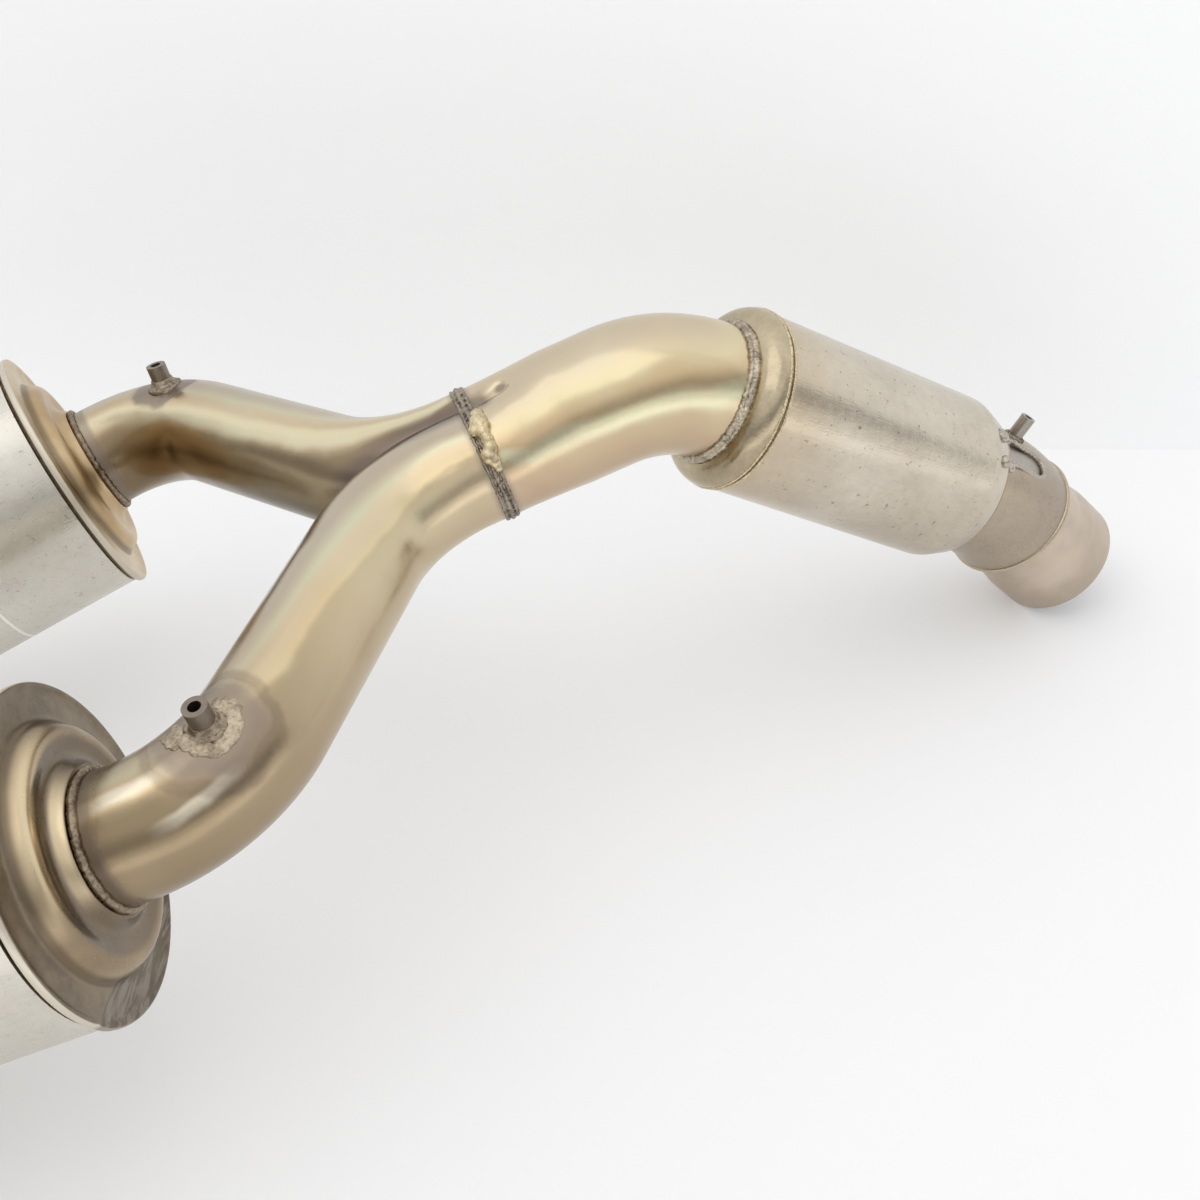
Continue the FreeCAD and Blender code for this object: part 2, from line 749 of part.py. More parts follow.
tip_outer = inner_od / 2
tip_inner = tip_outer - S["tip_wall"]
tip_length = S["tip_insert"] + S["tip_reach"]
flare_start = S["tip_insert"] + S["tip_flare_start"]
flare_end = flare_start + S["tip_flare_run"]
tip_outline = [
    (zero, tip_outer),
    (flare_start, tip_outer),
    (flare_end, tip_outer + S["tip_flare"]),
    (tip_length, tip_outer + S["tip_flare"]),
    (tip_length, tip_inner + S["tip_flare"]),
    (flare_end, tip_inner + S["tip_flare"]),
    (flare_start, tip_inner),
    (zero, tip_inner),
]
tip_seat = sleeve_end - tip_dir * n("tip_insert")
keep(revolved("inlet_tip", tip_outline), along_axis(tip_seat, tip_dir))

# Sampling post on the sleeve and sampling nipples on the branch pipes
post_start = S["sleeve_od"] / 2 - S["sleeve_wall"] - S["liner_wall"] - S["fit_gap"]
post_seat = S["sleeve_wall"] + S["liner_wall"] + S["fit_gap"]


def stepped_outline(seat, length, foot, outer, bore):
    """A short tube with a narrower foot and a shoulder that stands on its seat."""
    shoulder = seat + S["fit_gap"]
    return [(zero, foot), (shoulder, foot), (shoulder, outer), (length, outer), (length, bore), (zero, bore)]


post_top = post_seat + S["post_height"]
post_outline = stepped_outline(post_seat, post_top, post_spigot, post_radius, S["post_bore"] / 2)
post = revolved("inlet_post", post_outline)
keep(post, frame_on(post_foot + post_axis * post_start.value, post_axis, cat_dir))

nipple_seat = S["nipple_depth"] + S["pad_height"]
nipple_top = S["nipple_depth"] + S["nipple_height"]
nipple_bore = S["nipple_bore"] / 2
nipple_outline = stepped_outline(nipple_seat, nipple_top, nipple_foot, nipple_radius, nipple_bore)
pad_outline = [
    (zero, nipple_foot + S["fit_gap"]),
    (zero, S["pad_radius"]),
    (S["pad_radius"] / 2, S["pad_radius"]),
    (S["pad_radius"] / 2 + S["pad_height"], nipple_radius + S["pad_height"] / 2),
    (S["pad_radius"] / 2 + S["pad_height"], nipple_foot + S["fit_gap"]),
]


def nipple(side, flip):
    """A sampling nipple through the branch wall, and the weld pad around its foot."""
    def turned(v):
        return mirrored(v) if flip else v

    start = branch_radius.value - n("nipple_depth")
    foot = turned(nipple_centre) + turned(nipple_axis) * start
    side_dir = turned(nipple_heading)
    keep(revolved(side + "_nipple", nipple_outline), frame_on(foot, turned(nipple_axis), side_dir))
    body = new_body(side + "_nipple_pad")
    pad_foot = turned(nipple_centre) + turned(nipple_axis) * (branch_radius.value - n("pad_radius") / 2)
    ring = sketch_at(body, side + "_pad_outline", frame_on(pad_foot, turned(nipple_axis), side_dir))
    polygon(ring, pad_outline)
    turn = body.newObject("PartDesign::Revolution", side + "_pad_turn")
    turn.Profile = ring
    turn.ReferenceAxis = (ring, ["H_Axis"])
    turn.Angle = 360
    doc.recompute()
    saddle_place = frame_on(turned(bow_centre), turned(bow_out), turned(leg_dir))
    saddle = sketch_at(body, side + "_saddle", saddle_place)
    pipe_centre = Vector(n("neck_bend_radius"), 0, 0)
    saddle.addGeometry(Part.Circle(pipe_centre, Vector(0, 0, 1), branch_radius.value), False)
    saddle.addConstraint(Sketcher.Constraint("PointOnObject", 0, 3, -1))
    fix(saddle, "reach", S["neck_bend_radius"], "DistanceX", -1, 1, 0, 3)
    fix(saddle, "round", branch_radius + S["fit_gap"], "Radius", 0)
    groove = body.newObject("PartDesign::Groove", side + "_saddle_cut")
    groove.Profile = saddle
    groove.ReferenceAxis = (saddle, ["V_Axis"])
    groove.Angle = 360
    doc.recompute()
    keep(body)


nipple("right", False)
nipple("left", True)

# The origin goes under the middle of the part, on the floor
doc.recompute()
box = FreeCAD.BoundBox()
for item in built:
    box.add(item.Shape.optimalBoundingBox(True, False))
shift = Vector(-(box.XMin + box.XMax) / 2, -(box.YMin + box.YMax) / 2, -box.ZMin)
for item in built:
    item.Placement = Placement(shift, Rotation()).multiply(item.Placement)
doc.recompute()

for item in doc.Objects:
    if "Invalid" in item.State or "Error" in item.State:
        raise ValueError("not built: " + item.Label)
for item in built:
    if item.Shape.isNull() or not item.Shape.isValid() or len(item.Shape.Solids) != 1:
        raise ValueError("bad shape: " + item.Label)
    item.Shape.exportStep("parts/" + item.Label + ".step")
    print("%-20s volume %9.0f" % (item.Label, item.Shape.Volume))
print("rest angle %.3f, box %.1f x %.1f x %.1f, shift %.3f %.3f %.3f" % (
    rest_angle, box.XLength, box.YLength, box.ZLength, shift.x, shift.y, shift.z))
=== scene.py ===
import json
import math
import random

import bmesh
import bpy
from mathutils import Matrix, Vector, noise
from mathutils.bvhtree import BVHTree


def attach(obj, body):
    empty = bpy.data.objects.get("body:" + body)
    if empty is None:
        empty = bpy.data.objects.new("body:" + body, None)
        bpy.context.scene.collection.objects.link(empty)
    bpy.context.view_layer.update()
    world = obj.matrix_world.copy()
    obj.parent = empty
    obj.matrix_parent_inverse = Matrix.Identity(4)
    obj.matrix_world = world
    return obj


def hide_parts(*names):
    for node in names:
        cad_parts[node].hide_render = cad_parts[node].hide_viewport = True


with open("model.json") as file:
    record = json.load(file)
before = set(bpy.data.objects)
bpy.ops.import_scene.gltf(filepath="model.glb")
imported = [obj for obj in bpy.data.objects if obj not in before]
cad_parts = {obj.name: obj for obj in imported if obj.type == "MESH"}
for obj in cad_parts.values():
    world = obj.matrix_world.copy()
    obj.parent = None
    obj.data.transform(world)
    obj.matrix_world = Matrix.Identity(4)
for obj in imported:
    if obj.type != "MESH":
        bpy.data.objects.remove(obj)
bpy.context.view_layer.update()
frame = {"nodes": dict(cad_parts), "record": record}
nodes = frame["nodes"]
MM = 0.001


# Where the pieces lie, from the record's mounts and the CAD's sizes.

# degrees
SLEEVE_TURN = 15.6
MAIN_TURN = 45.9
SLOT_TURN = 28
# millimetres
TIP_REACH = 48.5
TIP_FLARE = 1.35
INLET_DEPTH = 20.5
INLET_RADIUS = 31.9
SLEEVE_BEND = 80
SLEEVE_LEG = 12.5
SLEEVE_RADIUS = 34
SLOT_RUN = 20
SLOT_HALF = 7
CATALYST_LENGTH = 157
MAIN_STRAIGHT = 59.5
MAIN_INSERT = 7
LOBE_COLLAR = 5
LOBE_BLEND = 34
CAN_REACH = 322
COLLAR_REACH = 18.5
OUTLET_HALF = 9
OUTLET_RADIUS = 23.9
NIPPLE_HALF = 6.8
# metres
MAIN_BEND = 66 * MM
MAIN_RADIUS = 31.75 * MM
MAIN_WALL = 1.5 * MM
BRANCH_RADIUS = 25.4 * MM
LOBE = 8.5 * MM

mounts = {m["name"]: m for m in frame["record"]["mounts"]}


def mount_line(name):
    return Vector(mounts[name]["pos_m"]), Vector(mounts[name]["axis"]).normalized()


def mirrored(v):
    return Vector((v.x, -v.y, v.z))


def in_plane(angle):
    return Vector((math.cos(math.radians(angle)), 0, math.sin(math.radians(angle))))


inlet_middle, tip_dir = mount_line("inlet")
tip_angle = math.degrees(math.atan2(tip_dir.z, tip_dir.x))
cat_dir = in_plane(tip_angle + SLEEVE_TURN)
out_dir = in_plane(tip_angle + SLEEVE_TURN + MAIN_TURN)
tip_end = inlet_middle + tip_dir * (INLET_DEPTH / 2) * MM
sleeve_end = tip_end - tip_dir * TIP_REACH * MM
sleeve_tangent = SLEEVE_BEND * MM * math.tan(math.radians(SLEEVE_TURN / 2))
sleeve_corner = sleeve_end - tip_dir * (sleeve_tangent + SLEEVE_LEG * MM)
cat_end = sleeve_corner - cat_dir * (sleeve_tangent + SLEEVE_LEG * MM)
cap_seat = cat_end - cat_dir * CATALYST_LENGTH * MM
main_tangent = MAIN_BEND * math.tan(math.radians(MAIN_TURN / 2))
bend_start = cap_seat - (out_dir + cat_dir) * main_tangent
collector = bend_start - out_dir * MAIN_STRAIGHT * MM
sideways = Vector((0, 1, 0))
outlet_middle, outlet_dir = mount_line("right_outlet")
can_dir = -outlet_dir
rim = outlet_middle + outlet_dir * OUTLET_HALF * MM + can_dir * CAN_REACH * MM
neck = rim + can_dir * COLLAR_REACH * MM
nipple_middle, nipple_dir = mount_line("right_nipple")
nipple_base = nipple_middle - nipple_dir * NIPPLE_HALF * MM


# The camera, and points on a piece under a place in the picture.

PICTURE = 1200
FOCAL = 1329.26
eye = Vector((8.06, -501.03, 483.43)) * MM
look = Vector((0.1895, 0.7598, -0.6219)).normalized()
right = Vector((0.9491, -0.3040, -0.0823))
right = (right - look * right.dot(look)).normalized()
down = look.cross(right)


def sight(x, y):
    """The line of sight through a place in the 1200 by 1200 picture."""
    return (look * FOCAL + right * (x - PICTURE / 2) + down * (y - PICTURE / 2)).normalized()


camera_data = bpy.data.cameras.new("camera")
camera_data.sensor_width = 36
camera_data.lens = FOCAL * 36 / PICTURE
camera_data.clip_start = 0.01
camera_data.clip_end = 50
camera = bpy.data.objects.new("camera", camera_data)
bpy.context.scene.collection.objects.link(camera)
camera.matrix_world = Matrix((
    (right.x, -down.x, -look.x, eye.x),
    (right.y, -down.y, -look.y, eye.y),
    (right.z, -down.z, -look.z, eye.z),
    (0, 0, 0, 1),
))
bpy.context.scene.camera = camera

trees = {}


def tree_of(name):
    """A CAD node's surface, for finding points on it."""
    if name not in trees:
        solid = bmesh.new()
        solid.from_mesh(nodes[name].data)
        trees[name] = BVHTree.FromBMesh(solid)
        solid.free()
    return trees[name]


def on_surface(x, y, *names):
    """Where the line of sight first meets one of the CAD nodes, and the surface's normal there."""
    hits = []
    for name in names:
        place, normal, _, away = tree_of(name).ray_cast(eye, sight(x, y))
        if place:
            hits.append((away, place, normal))
    _, place, normal = min(hits, key=lambda hit: hit[0])
    return place, normal


# Finishes.

class Field:
    """One socket of a finish, with arithmetic that adds Math nodes."""

    def __init__(self, finish, socket):
        self.finish = finish
        self.socket = socket

    def math(self, operation, a, b):
        return self.finish.node("ShaderNodeMath", {"operation": operation}, {0: a, 1: b})

    def __add__(self, other):
        return self.math("ADD", self, other)

    def __radd__(self, other):
        return self.math("ADD", other, self)

    def __sub__(self, other):
        return self.math("SUBTRACT", self, other)

    def __rsub__(self, other):
        return self.math("SUBTRACT", other, self)

    def __mul__(self, other):
        return self.math("MULTIPLY", self, other)

    def __rmul__(self, other):
        return self.math("MULTIPLY", other, self)

    def __truediv__(self, other):
        return self.math("DIVIDE", self, other)

    def __abs__(self):
        return self.math("ABSOLUTE", self, 0.0)

    def band(self, low, high):
        """0 below low and 1 above high, smooth between them; the other way round if high is lower."""
        if high < low:
            return 1 - self.band(high, low)
        settings = {"interpolation_type": "SMOOTHSTEP"}
        return self.finish.node("ShaderNodeMapRange", settings, {0: self, 1: low, 2: high})


class Tree:
    """A node tree, and the one way in which nodes are added to it."""

    def __init__(self, tree):
        self.tree = tree

    def node(self, kind, settings=None, sockets=None, out=0):
        made = self.tree.nodes.new(kind)
        for key, value in (settings or {}).items():
            if key == "stops":
                stops = made.color_ramp.elements
                while len(stops) < len(value):
                    stops.new(0.5)
                for stop, (position, colour) in zip(stops, value):
                    stop.position = position
                    stop.color = colour
            else:
                setattr(made, key, value)
        for key, value in (sockets or {}).items():
            if isinstance(value, Field):
                self.tree.links.new(value.socket, made.inputs[key])
            else:
                made.inputs[key].default_value = value
        return made if out is None else Field(self, made.outputs[out])


class Finish(Tree):
    """A metal finish built from nodes on Object coordinates."""

    def __init__(self, name):
        self.material = bpy.data.materials.new(name)
        self.material.use_nodes = True
        super().__init__(self.material.node_tree)
        self.tree.nodes.clear()
        self.place = self.node("ShaderNodeTexCoord", out="Object")

    def vector(self, operation, a, b, out=0):
        return self.node("ShaderNodeVectorMath", {"operation": operation}, {0: a, 1: b}, out)

    def grain(self, scale, detail=3.0, rough=0.55, stretch=None, offset=(0, 0, 0)):
        """Noise from 0 to 1; stretch is (axis, factor) to draw it out along one direction."""
        place = self.place
        if stretch:
            axis, factor = stretch
            along = self.vector("DOT_PRODUCT", place, tuple(axis), "Value")
            pull = self.node("ShaderNodeVectorMath", {"operation": "SCALE"},
                             {0: tuple(axis), "Scale": along * (1 / factor - 1)})
            place = self.vector("ADD", place, pull)
        if any(offset):
            place = self.vector("ADD", place, tuple(offset))
        return self.node("ShaderNodeTexNoise", {"noise_dimensions": "3D"},
                         {"Vector": place, "Scale": scale, "Detail": detail, "Roughness": rough})

    def from_point(self, point):
        return self.vector("DISTANCE", self.place, tuple(point), "Value")

    def along(self, point, axis):
        arm = self.vector("SUBTRACT", self.place, tuple(point))
        return self.vector("DOT_PRODUCT", arm, tuple(axis), "Value")

    def off_axis(self, point, axis):
        """Distance from an axis through a point."""
        arm = self.vector("SUBTRACT", self.place, tuple(point))
        return self.vector("LENGTH", self.vector("CROSS_PRODUCT", arm, tuple(axis)), (0, 0, 0), "Value")

    def mix(self, factor, a, b):
        return self.node("ShaderNodeMix", {"data_type": "RGBA"}, {0: factor, 6: a, 7: b}, 2)

    def ramp(self, value, stops):
        return self.node("ShaderNodeValToRGB", {"stops": stops}, {0: value})

    def metal(self, colour, roughness, height, depth, strength, metallic=1.0):
        relief = self.node("ShaderNodeBump", {}, {"Strength": strength, "Distance": depth, "Height": height})
        return self.done(self.node("ShaderNodeBsdfPrincipled", {}, {
            "Base Color": colour, "Roughness": roughness, "Metallic": metallic, "Normal": relief}))

    def done(self, shader):
        self.node("ShaderNodeOutputMaterial", {}, {"Surface": shader}, None)
        return self.material


def tone(red, green, blue):
    """A linear colour from its 0 to 255 screen values."""
    return tuple(((c / 255 + 0.055) / 1.055) ** 2.4 if c > 10 else c / 255 / 12.92
                 for c in (red, green, blue)) + (1.0,)


STRAW = tone(220, 214, 184)
GOLD = tone(212, 194, 160)
ROSE = tone(210, 184, 156)
BROWN = tone(172, 148, 118)
VIOLET = tone(138, 126, 118)
SOOT = tone(44, 40, 37)
# Heat tint mixed with painted reflection bands, light and dark stripes, on a branch from front to back, and on the
# main pipe from its underside to its top.
BRANCH_TINT_AND_REFLECTIONS = [(0.0, tone(202, 186, 156)), (0.16, tone(196, 180, 148)), (0.24, tone(190, 172, 138)),
                (0.28, tone(216, 194, 152)), (0.34, tone(210, 190, 156)), (0.42, tone(214, 194, 162)),
                (0.5, tone(210, 206, 178)), (0.57, tone(196, 186, 164)), (0.63, tone(184, 173, 157)),
                (1.0, tone(194, 184, 170))]
MAIN_TINT_AND_REFLECTIONS = [(0.0, tone(196, 176, 154)), (0.35, tone(200, 176, 148)), (0.52, tone(206, 186, 152)),
              (0.6, tone(214, 212, 180)), (0.67, tone(212, 208, 174)), (0.73, tone(198, 174, 134)),
              (0.79, tone(212, 186, 146)), (0.87, tone(222, 208, 168)), (0.94, tone(216, 202, 170)),
              (1.0, tone(206, 192, 168))]


def ring_zone(finish, centre, axis, reach, half_width):
    """1 on the band around a ring weld, fading out on both sides."""
    near = finish.from_point(centre).band(reach, reach * 0.9)
    return near * abs(finish.along(centre, axis)).band(half_width, half_width * 0.25)


dimple, dimple_normal = on_surface(499, 386, "main_pipe")
valley = on_surface(486, 396, "main_pipe")[0]
bulge = on_surface(514, 406, "main_pipe")[0]


def section(x):
    """Middle and half size, upright and then across, of the near pipe at one place along the exhaust."""
    tree = tree_of("right_branch_pipe" if x < collector.x else "main_pipe")
    sizes = []
    for way in (2, 1):
        found = []
        for k in range(-50, 80):
            for far in (-1, 1):
                start = Vector((x, k * 4 * MM, k * 4 * MM))
                aim = Vector((0, 0, 0))
                start[way] = far
                aim[way] = -far
                hit = tree.ray_cast(start, aim)[0]
                if hit:
                    found.append(hit[way])
        sizes += [(max(found) + min(found)) / 2, (max(found) - min(found)) / 2]
    return sizes


def grey(value):
    return (value, value, value, 1.0)


def tinted_pipe_with_painted_light():
    """Heat-tinted stainless tube: bands of straw, gold, rose and olive along it, partly heat tint and partly painted
    reflections, with painted shade and painted highlights, grey-violet beside the welds.
    """
    f = Finish("tinted_pipe_with_painted_light")
    clouds = f.grain(18, 3, 0.5)
    specks = f.grain(480, 2, 0.6)
    # places on the pipe: up and down, and front to back
    first, last = neck.x, cap_seat.x
    stations = [i / 24 for i in range(25)]
    sections = [section(first + (last - first) * (0.01 + 0.98 * t)) for t in stations]
    x, y, z = (f.node("ShaderNodeSeparateXYZ", {}, {0: f.place}, k) for k in range(3))
    t = (x - first) / (last - first)
    level, tall, aside, wide = (f.ramp(t, [(k, grey(abs(sizes[i]))) for k, sizes in zip(stations, sections)])
                                for i in range(4))
    far_side = y.band(-0.1 * MM, 0.1 * MM)
    around = (z - level) / tall * 0.5 + 0.5 + (clouds - 0.5) * 0.3
    front_to_back = (abs(y) - aside) / wide * (far_side - 0.5) + 0.5
    across = front_to_back + (clouds - 0.5) * 0.2
    branch = f.along(collector, out_dir).band(6 * MM, -6 * MM)
    # bands of heat tint and painted reflections, by place around the pipe
    tint = f.mix(branch, f.ramp(around, MAIN_TINT_AND_REFLECTIONS), f.ramp(across, BRANCH_TINT_AND_REFLECTIONS))
    tint = f.mix(0.25, tint, f.ramp(clouds + (specks - 0.5) * 0.1,
                                    [(0.28, BROWN), (0.42, ROSE), (0.53, GOLD), (0.66, STRAW)]))
    # the far branch: painted shade on its front and underside, and a painted highlight stripe on top
    far_branch = branch * far_side
    tint = f.mix(across.band(0.2, 0.1) * far_branch * 0.75, tint, tone(124, 108, 84))
    tint = f.mix(abs(across - 0.27).band(0.12, 0.04) * far_branch * 0.65, tint, tone(232, 226, 194))
    tint = f.mix(around.band(0.62, 0.4) * far_branch * 0.65, tint, tone(86, 75, 60))
    # browned towards the cans, partly heat tint and partly painted shade that is deeper on the front side, with a
    # painted highlight streak left clear, and two painted glints on the near branch
    front_side = across.band(0.29, 0.19) * branch
    for side, deep in ((Vector, 0.3), (mirrored, 0.2)):
        near_can = f.from_point(side(neck)).band(150 * MM, 40 * MM)
        highlight_streak = abs(across - 0.34).band(0.1, 0.02)
        browned_and_shaded = near_can * (0.15 + clouds * 0.45 + front_side * deep) * (1 - highlight_streak * 0.6)
        tint = f.mix(browned_and_shaded.band(0, 1), tint, tone(140, 120, 94))
    for spot, reach, at, width in ((on_surface(115, 797, "right_branch_pipe")[0], 26, 0.35, 0.08),
                                   (on_surface(203, 806, "right_branch_pipe")[0], 22, 0.08, 0.04)):
        glint = f.from_point(spot).band(reach * MM, 6 * MM) * abs(front_to_back - at).band(width, width * 0.3)
        tint = f.mix(glint * 0.75, tint, tone(238, 228, 206))
    # grey-violet beside the welds and around the nipples
    zones = ring_zone(f, collector, out_dir, 46 * MM, 7 * MM) * 0.8
    zones = zones + ring_zone(f, cap_seat, cat_dir, 46 * MM, 6 * MM)
    for side in (Vector, mirrored):
        zones = zones + ring_zone(f, side(neck), side(can_dir), 40 * MM, 5 * MM) * 0.7
    wander = (f.grain(55, 3, 0.5) - 0.5) * 0.012
    zones = zones + (f.from_point(nipple_base) + wander).band(27 * MM, 16 * MM) * 0.8
    zones = zones + (f.from_point(mirrored(nipple_base)) + wander).band(19 * MM, 14 * MM)
    # painted shade in the dimple's hollow, in the grey-violet of the heat tint
    zones = zones + f.from_point(dimple).band(4.5 * MM, 1.5 * MM)
    heat_tint_and_dimple_shade = zones.band(0, 1)
    tint = f.mix(heat_tint_and_dimple_shade * (0.55 + 0.45 * f.grain(90, 3, 0.6)), tint, VIOLET)
    edge = abs(f.from_point(nipple_base) + wander - 24 * MM).band(4 * MM, 1 * MM)
    tint = f.mix(edge * 0.35, tint, tone(104, 90, 80))
    # dark seam where the branches meet
    seam = abs(f.along(collector, sideways)).band(10 * MM, 2 * MM) * f.from_point(collector).band(150 * MM, 50 * MM)
    over = f.along(collector, in_plane(tip_angle + SLEEVE_TURN + MAIN_TURN + 90)).band(8 * MM, 14 * MM)
    seam = seam * over * f.along(collector, out_dir).band(14 * MM, 8 * MM)
    tint = f.mix(seam * 0.75, tint, tone(116, 102, 96))
    waves = f.grain(26, 1, 0.4, offset=(3, 1, 7))
    height = waves + specks * 0.01
    return f.metal(tint, 0.17 + specks * 0.12 + heat_tint_and_dimple_shade * 0.16, height, 0.004, 0.4)


def scratched_steel(name, low, high, roughness, axis=None, pitted=0.0, seam=None, metallic=1.0):
    """Satin stainless with fine scratches along an axis and pits.

    seam is (point, axis, colour, warmth): a line around the piece at that point, and a golden tint beside it; a dark
    line there is painted shade in the seam's gap.
    """
    f = Finish(name)
    stains = f.grain(14, 3, 0.5)
    lines = f.grain(1100, 2, 0.6, (axis, 9)) if axis else f.grain(700, 2, 0.6)
    mottle = f.grain(170, 4, 0.65, offset=(2, 8, 4))
    pits = f.grain(330, 3, 0.7, offset=(5, 2, 1))
    tint = f.mix(stains.band(0.3, 0.7) * 0.6 + mottle.band(0.3, 0.7) * 0.25 + lines.band(0.3, 0.7) * 0.15, low, high)
    if pitted:
        tint = f.mix(pits.band(0.63, 0.7) * pitted, tint, tone(104, 94, 82))
    if seam:
        point, way, colour, warm = seam
        tint = f.mix(f.along(point, way).band(50 * MM, 0) * warm, tint, tone(204, 182, 146))
        # the line around the piece; where it is dark it is painted shade in the seam's gap
        tint = f.mix(abs(f.along(point, way)).band(0.9 * MM, 0.5 * MM) * 0.85, tint, colour)
    height = lines * 0.6 + mottle + pits * 0.4
    rough = roughness + (lines - 0.5) * 0.14 + (mottle - 0.5) * 0.16
    return f.metal(tint, rough, height, 0.0004, 0.22, metallic)


# Painted highlights and the crease on the near cap.
shine = on_surface(20, 810, "right_front_cap")[0]
collar_shine = on_surface(71, 836, "right_front_cap")[0]
crease_start = on_surface(150, 905, "right_front_cap")[0]
crease_end = on_surface(104, 1008, "right_front_cap")[0]
crease_way = (crease_end - crease_start).normalized()
crease_out = can_dir.cross(crease_way).normalized()
if crease_out.dot(crease_start - rim) < 0:
    crease_out = -crease_out


def cap_steel(name, side, dome_low, dome_high, flange_low, flange_high, dark_valley=False, scuffed_and_shaded=False,
              roughness=0.24):
    """Pressed end cap: dome with painted highlights, painted shade in the hollow and a darker collar, its flange with
    painted shade at the dome's foot and a painted highlight on its lip, and painted shade with scuffs beyond the
    crease.
    """
    f = Finish(name)
    radius = f.off_axis(side(rim), side(can_dir))
    clouds = f.grain(24, 3, 0.55)
    specks = f.grain(500, 2, 0.6)
    rubbed = f.grain(160, 4, 0.7, offset=(1, 6, 3))
    dome = f.mix(clouds.band(0.3, 0.7), dome_low, dome_high)
    if dark_valley:
        # painted shade in the hollow between the crest and the collar; the collar darker towards the neck
        hollow_shade = abs(radius - 35 * MM).band(7.5 * MM, 4 * MM)
        dome = f.mix(hollow_shade * 0.7, dome, tone(116, 106, 95))
        dome = f.mix(radius.band(32.5 * MM, 30.5 * MM) * 0.7, dome, tone(114, 100, 84))
    # painted highlights on the crest and the collar
    for spot, at, reach, width in ((shine, 43.5, 50, 4.5), (collar_shine, 30, 30, 2.4)):
        on_ring = abs(radius - at * MM).band(width * MM, width * 0.3 * MM)
        bright = on_ring * f.from_point(spot).band(reach * MM, 8 * MM)
        dome = f.mix(bright * 0.85, dome, tone(228, 208, 172))
    flange = (radius + (clouds - 0.5) * 0.01).band(47 * MM, 51 * MM)
    tint = f.mix(flange, dome, f.mix(clouds.band(0.3, 0.7) * 0.6 + rubbed.band(0.35, 0.65) * 0.4,
                                     flange_low, flange_high))
    # painted shade in the crease at the dome's foot
    foot = abs(radius - 48.6 * MM).band(1.8 * MM, 0.5 * MM)
    tint = f.mix(foot * 0.6, tint, tone(84, 72, 58))
    # painted highlight on the flange's rounded lip
    tint = f.mix(radius.band(63.1 * MM, 63.5 * MM), tint, tone(214, 206, 190))
    rough = roughness + specks * 0.1 + flange * (0.04 + rubbed * 0.1)
    if scuffed_and_shaded:
        rubs = f.grain(300, 3, 0.7, (crease_way, 8)).band(0.45, 0.62)
        beyond = f.along(crease_start, crease_out).band(0, 3 * MM) * flange
        # painted shade on the flange bent back beyond the crease, then lighter scuffs on it
        tint = f.mix(beyond * 0.5, tint, tone(92, 84, 76))
        tint = f.mix(beyond * rubs * 0.5, tint, tone(176, 168, 158))
        rough = rough + beyond * 0.1
    return f.metal(tint, rough, clouds + specks * 0.02, 0.0008, 0.15)


def weld_metal(name, low, high, roughness=0.42, depth=0.0006, strength=0.5):
    """Bare bead: grainy, darker in its folds."""
    f = Finish(name)
    grain = f.grain(700, 4, 0.65)
    clouds = f.grain(120, 3, 0.6)
    tint = f.mix((grain * 0.5 + clouds * 0.5).band(0.36, 0.62), low, high)
    return f.metal(tint, roughness + (grain - 0.5) * 0.3, grain, depth, strength)


def sooted_tube(name, end, axis, inner, low, high, flare=0.0, flare_end=0.0):
    """A tube end that is satin outside and sooted inside; inner is the bore's radius at the end."""
    f = Finish(name)
    clouds = f.grain(26, 3, 0.55)
    lines = f.grain(800, 2, 0.6)
    radius = f.off_axis(end, axis)
    if flare:
        radius = radius + f.along(end, axis).band(-flare_end, -flare_end - 10 * MM) * flare
    inside = radius.band(inner + 0.75 * MM, inner + 0.45 * MM)
    tint = f.mix(clouds.band(0.32, 0.68), low, high)
    tint = f.mix(inside, tint, SOOT)
    return f.metal(tint, 0.36 + (lines - 0.5) * 0.12 + inside * 0.3, clouds + lines * 0.05, 0.001, 0.2)


pipe_finish = tinted_pipe_with_painted_light()
# the catalyst's dark seam line is painted shade in the gap between the cap's rim rings
catalyst_finish = scratched_steel("scratched_canister", tone(186, 174, 157), tone(216, 208, 192), 0.22, cat_dir, 0.6,
                                  (cap_seat + cat_dir * 11.9 * MM, cat_dir, tone(80, 70, 60), 0.35))
can_line = on_surface(10, 624, "left_can_shell")[0]
CAN_TONES = (tone(206, 200, 188), tone(226, 222, 212))
can_finish = scratched_steel("brushed_can", *CAN_TONES, 0.3, can_dir, 0.25)
far_can_finish = scratched_steel("far_brushed_can", *CAN_TONES, 0.3, mirrored(can_dir), 0.35,
                                 (can_line, mirrored(can_dir), tone(250, 250, 246), 0.0))
inlet_finish = scratched_steel("browned_sleeve", tone(164, 151, 138), tone(188, 173, 150), 0.3)
tip_finish = sooted_tube("browned_tip", tip_end, tip_dir, INLET_RADIUS * MM, tone(186, 171, 154), tone(206, 191, 174),
                         TIP_FLARE * MM, INLET_DEPTH * MM)
bead_finish = weld_metal("weld_bead", tone(104, 92, 80), tone(172, 158, 138))
grey_bead = weld_metal("grey_bead", tone(122, 112, 101), tone(174, 163, 147), 0.36, 0.0004, 0.35)
silver_bead = weld_metal("silver_bead", tone(134, 122, 106), tone(204, 192, 172), 0.3, 0.0004, 0.35)
brown_bead = weld_metal("brown_bead", tone(112, 98, 83), tone(158, 143, 123), 0.34, 0.0003, 0.3)
gold_bead = weld_metal("golden_bead", tone(184, 166, 132), tone(222, 207, 172), 0.27, 0.0003, 0.2)
pale_crust = weld_metal("pale_crust", tone(142, 127, 109), tone(206, 191, 168), 0.5, 0.0005, 0.4)
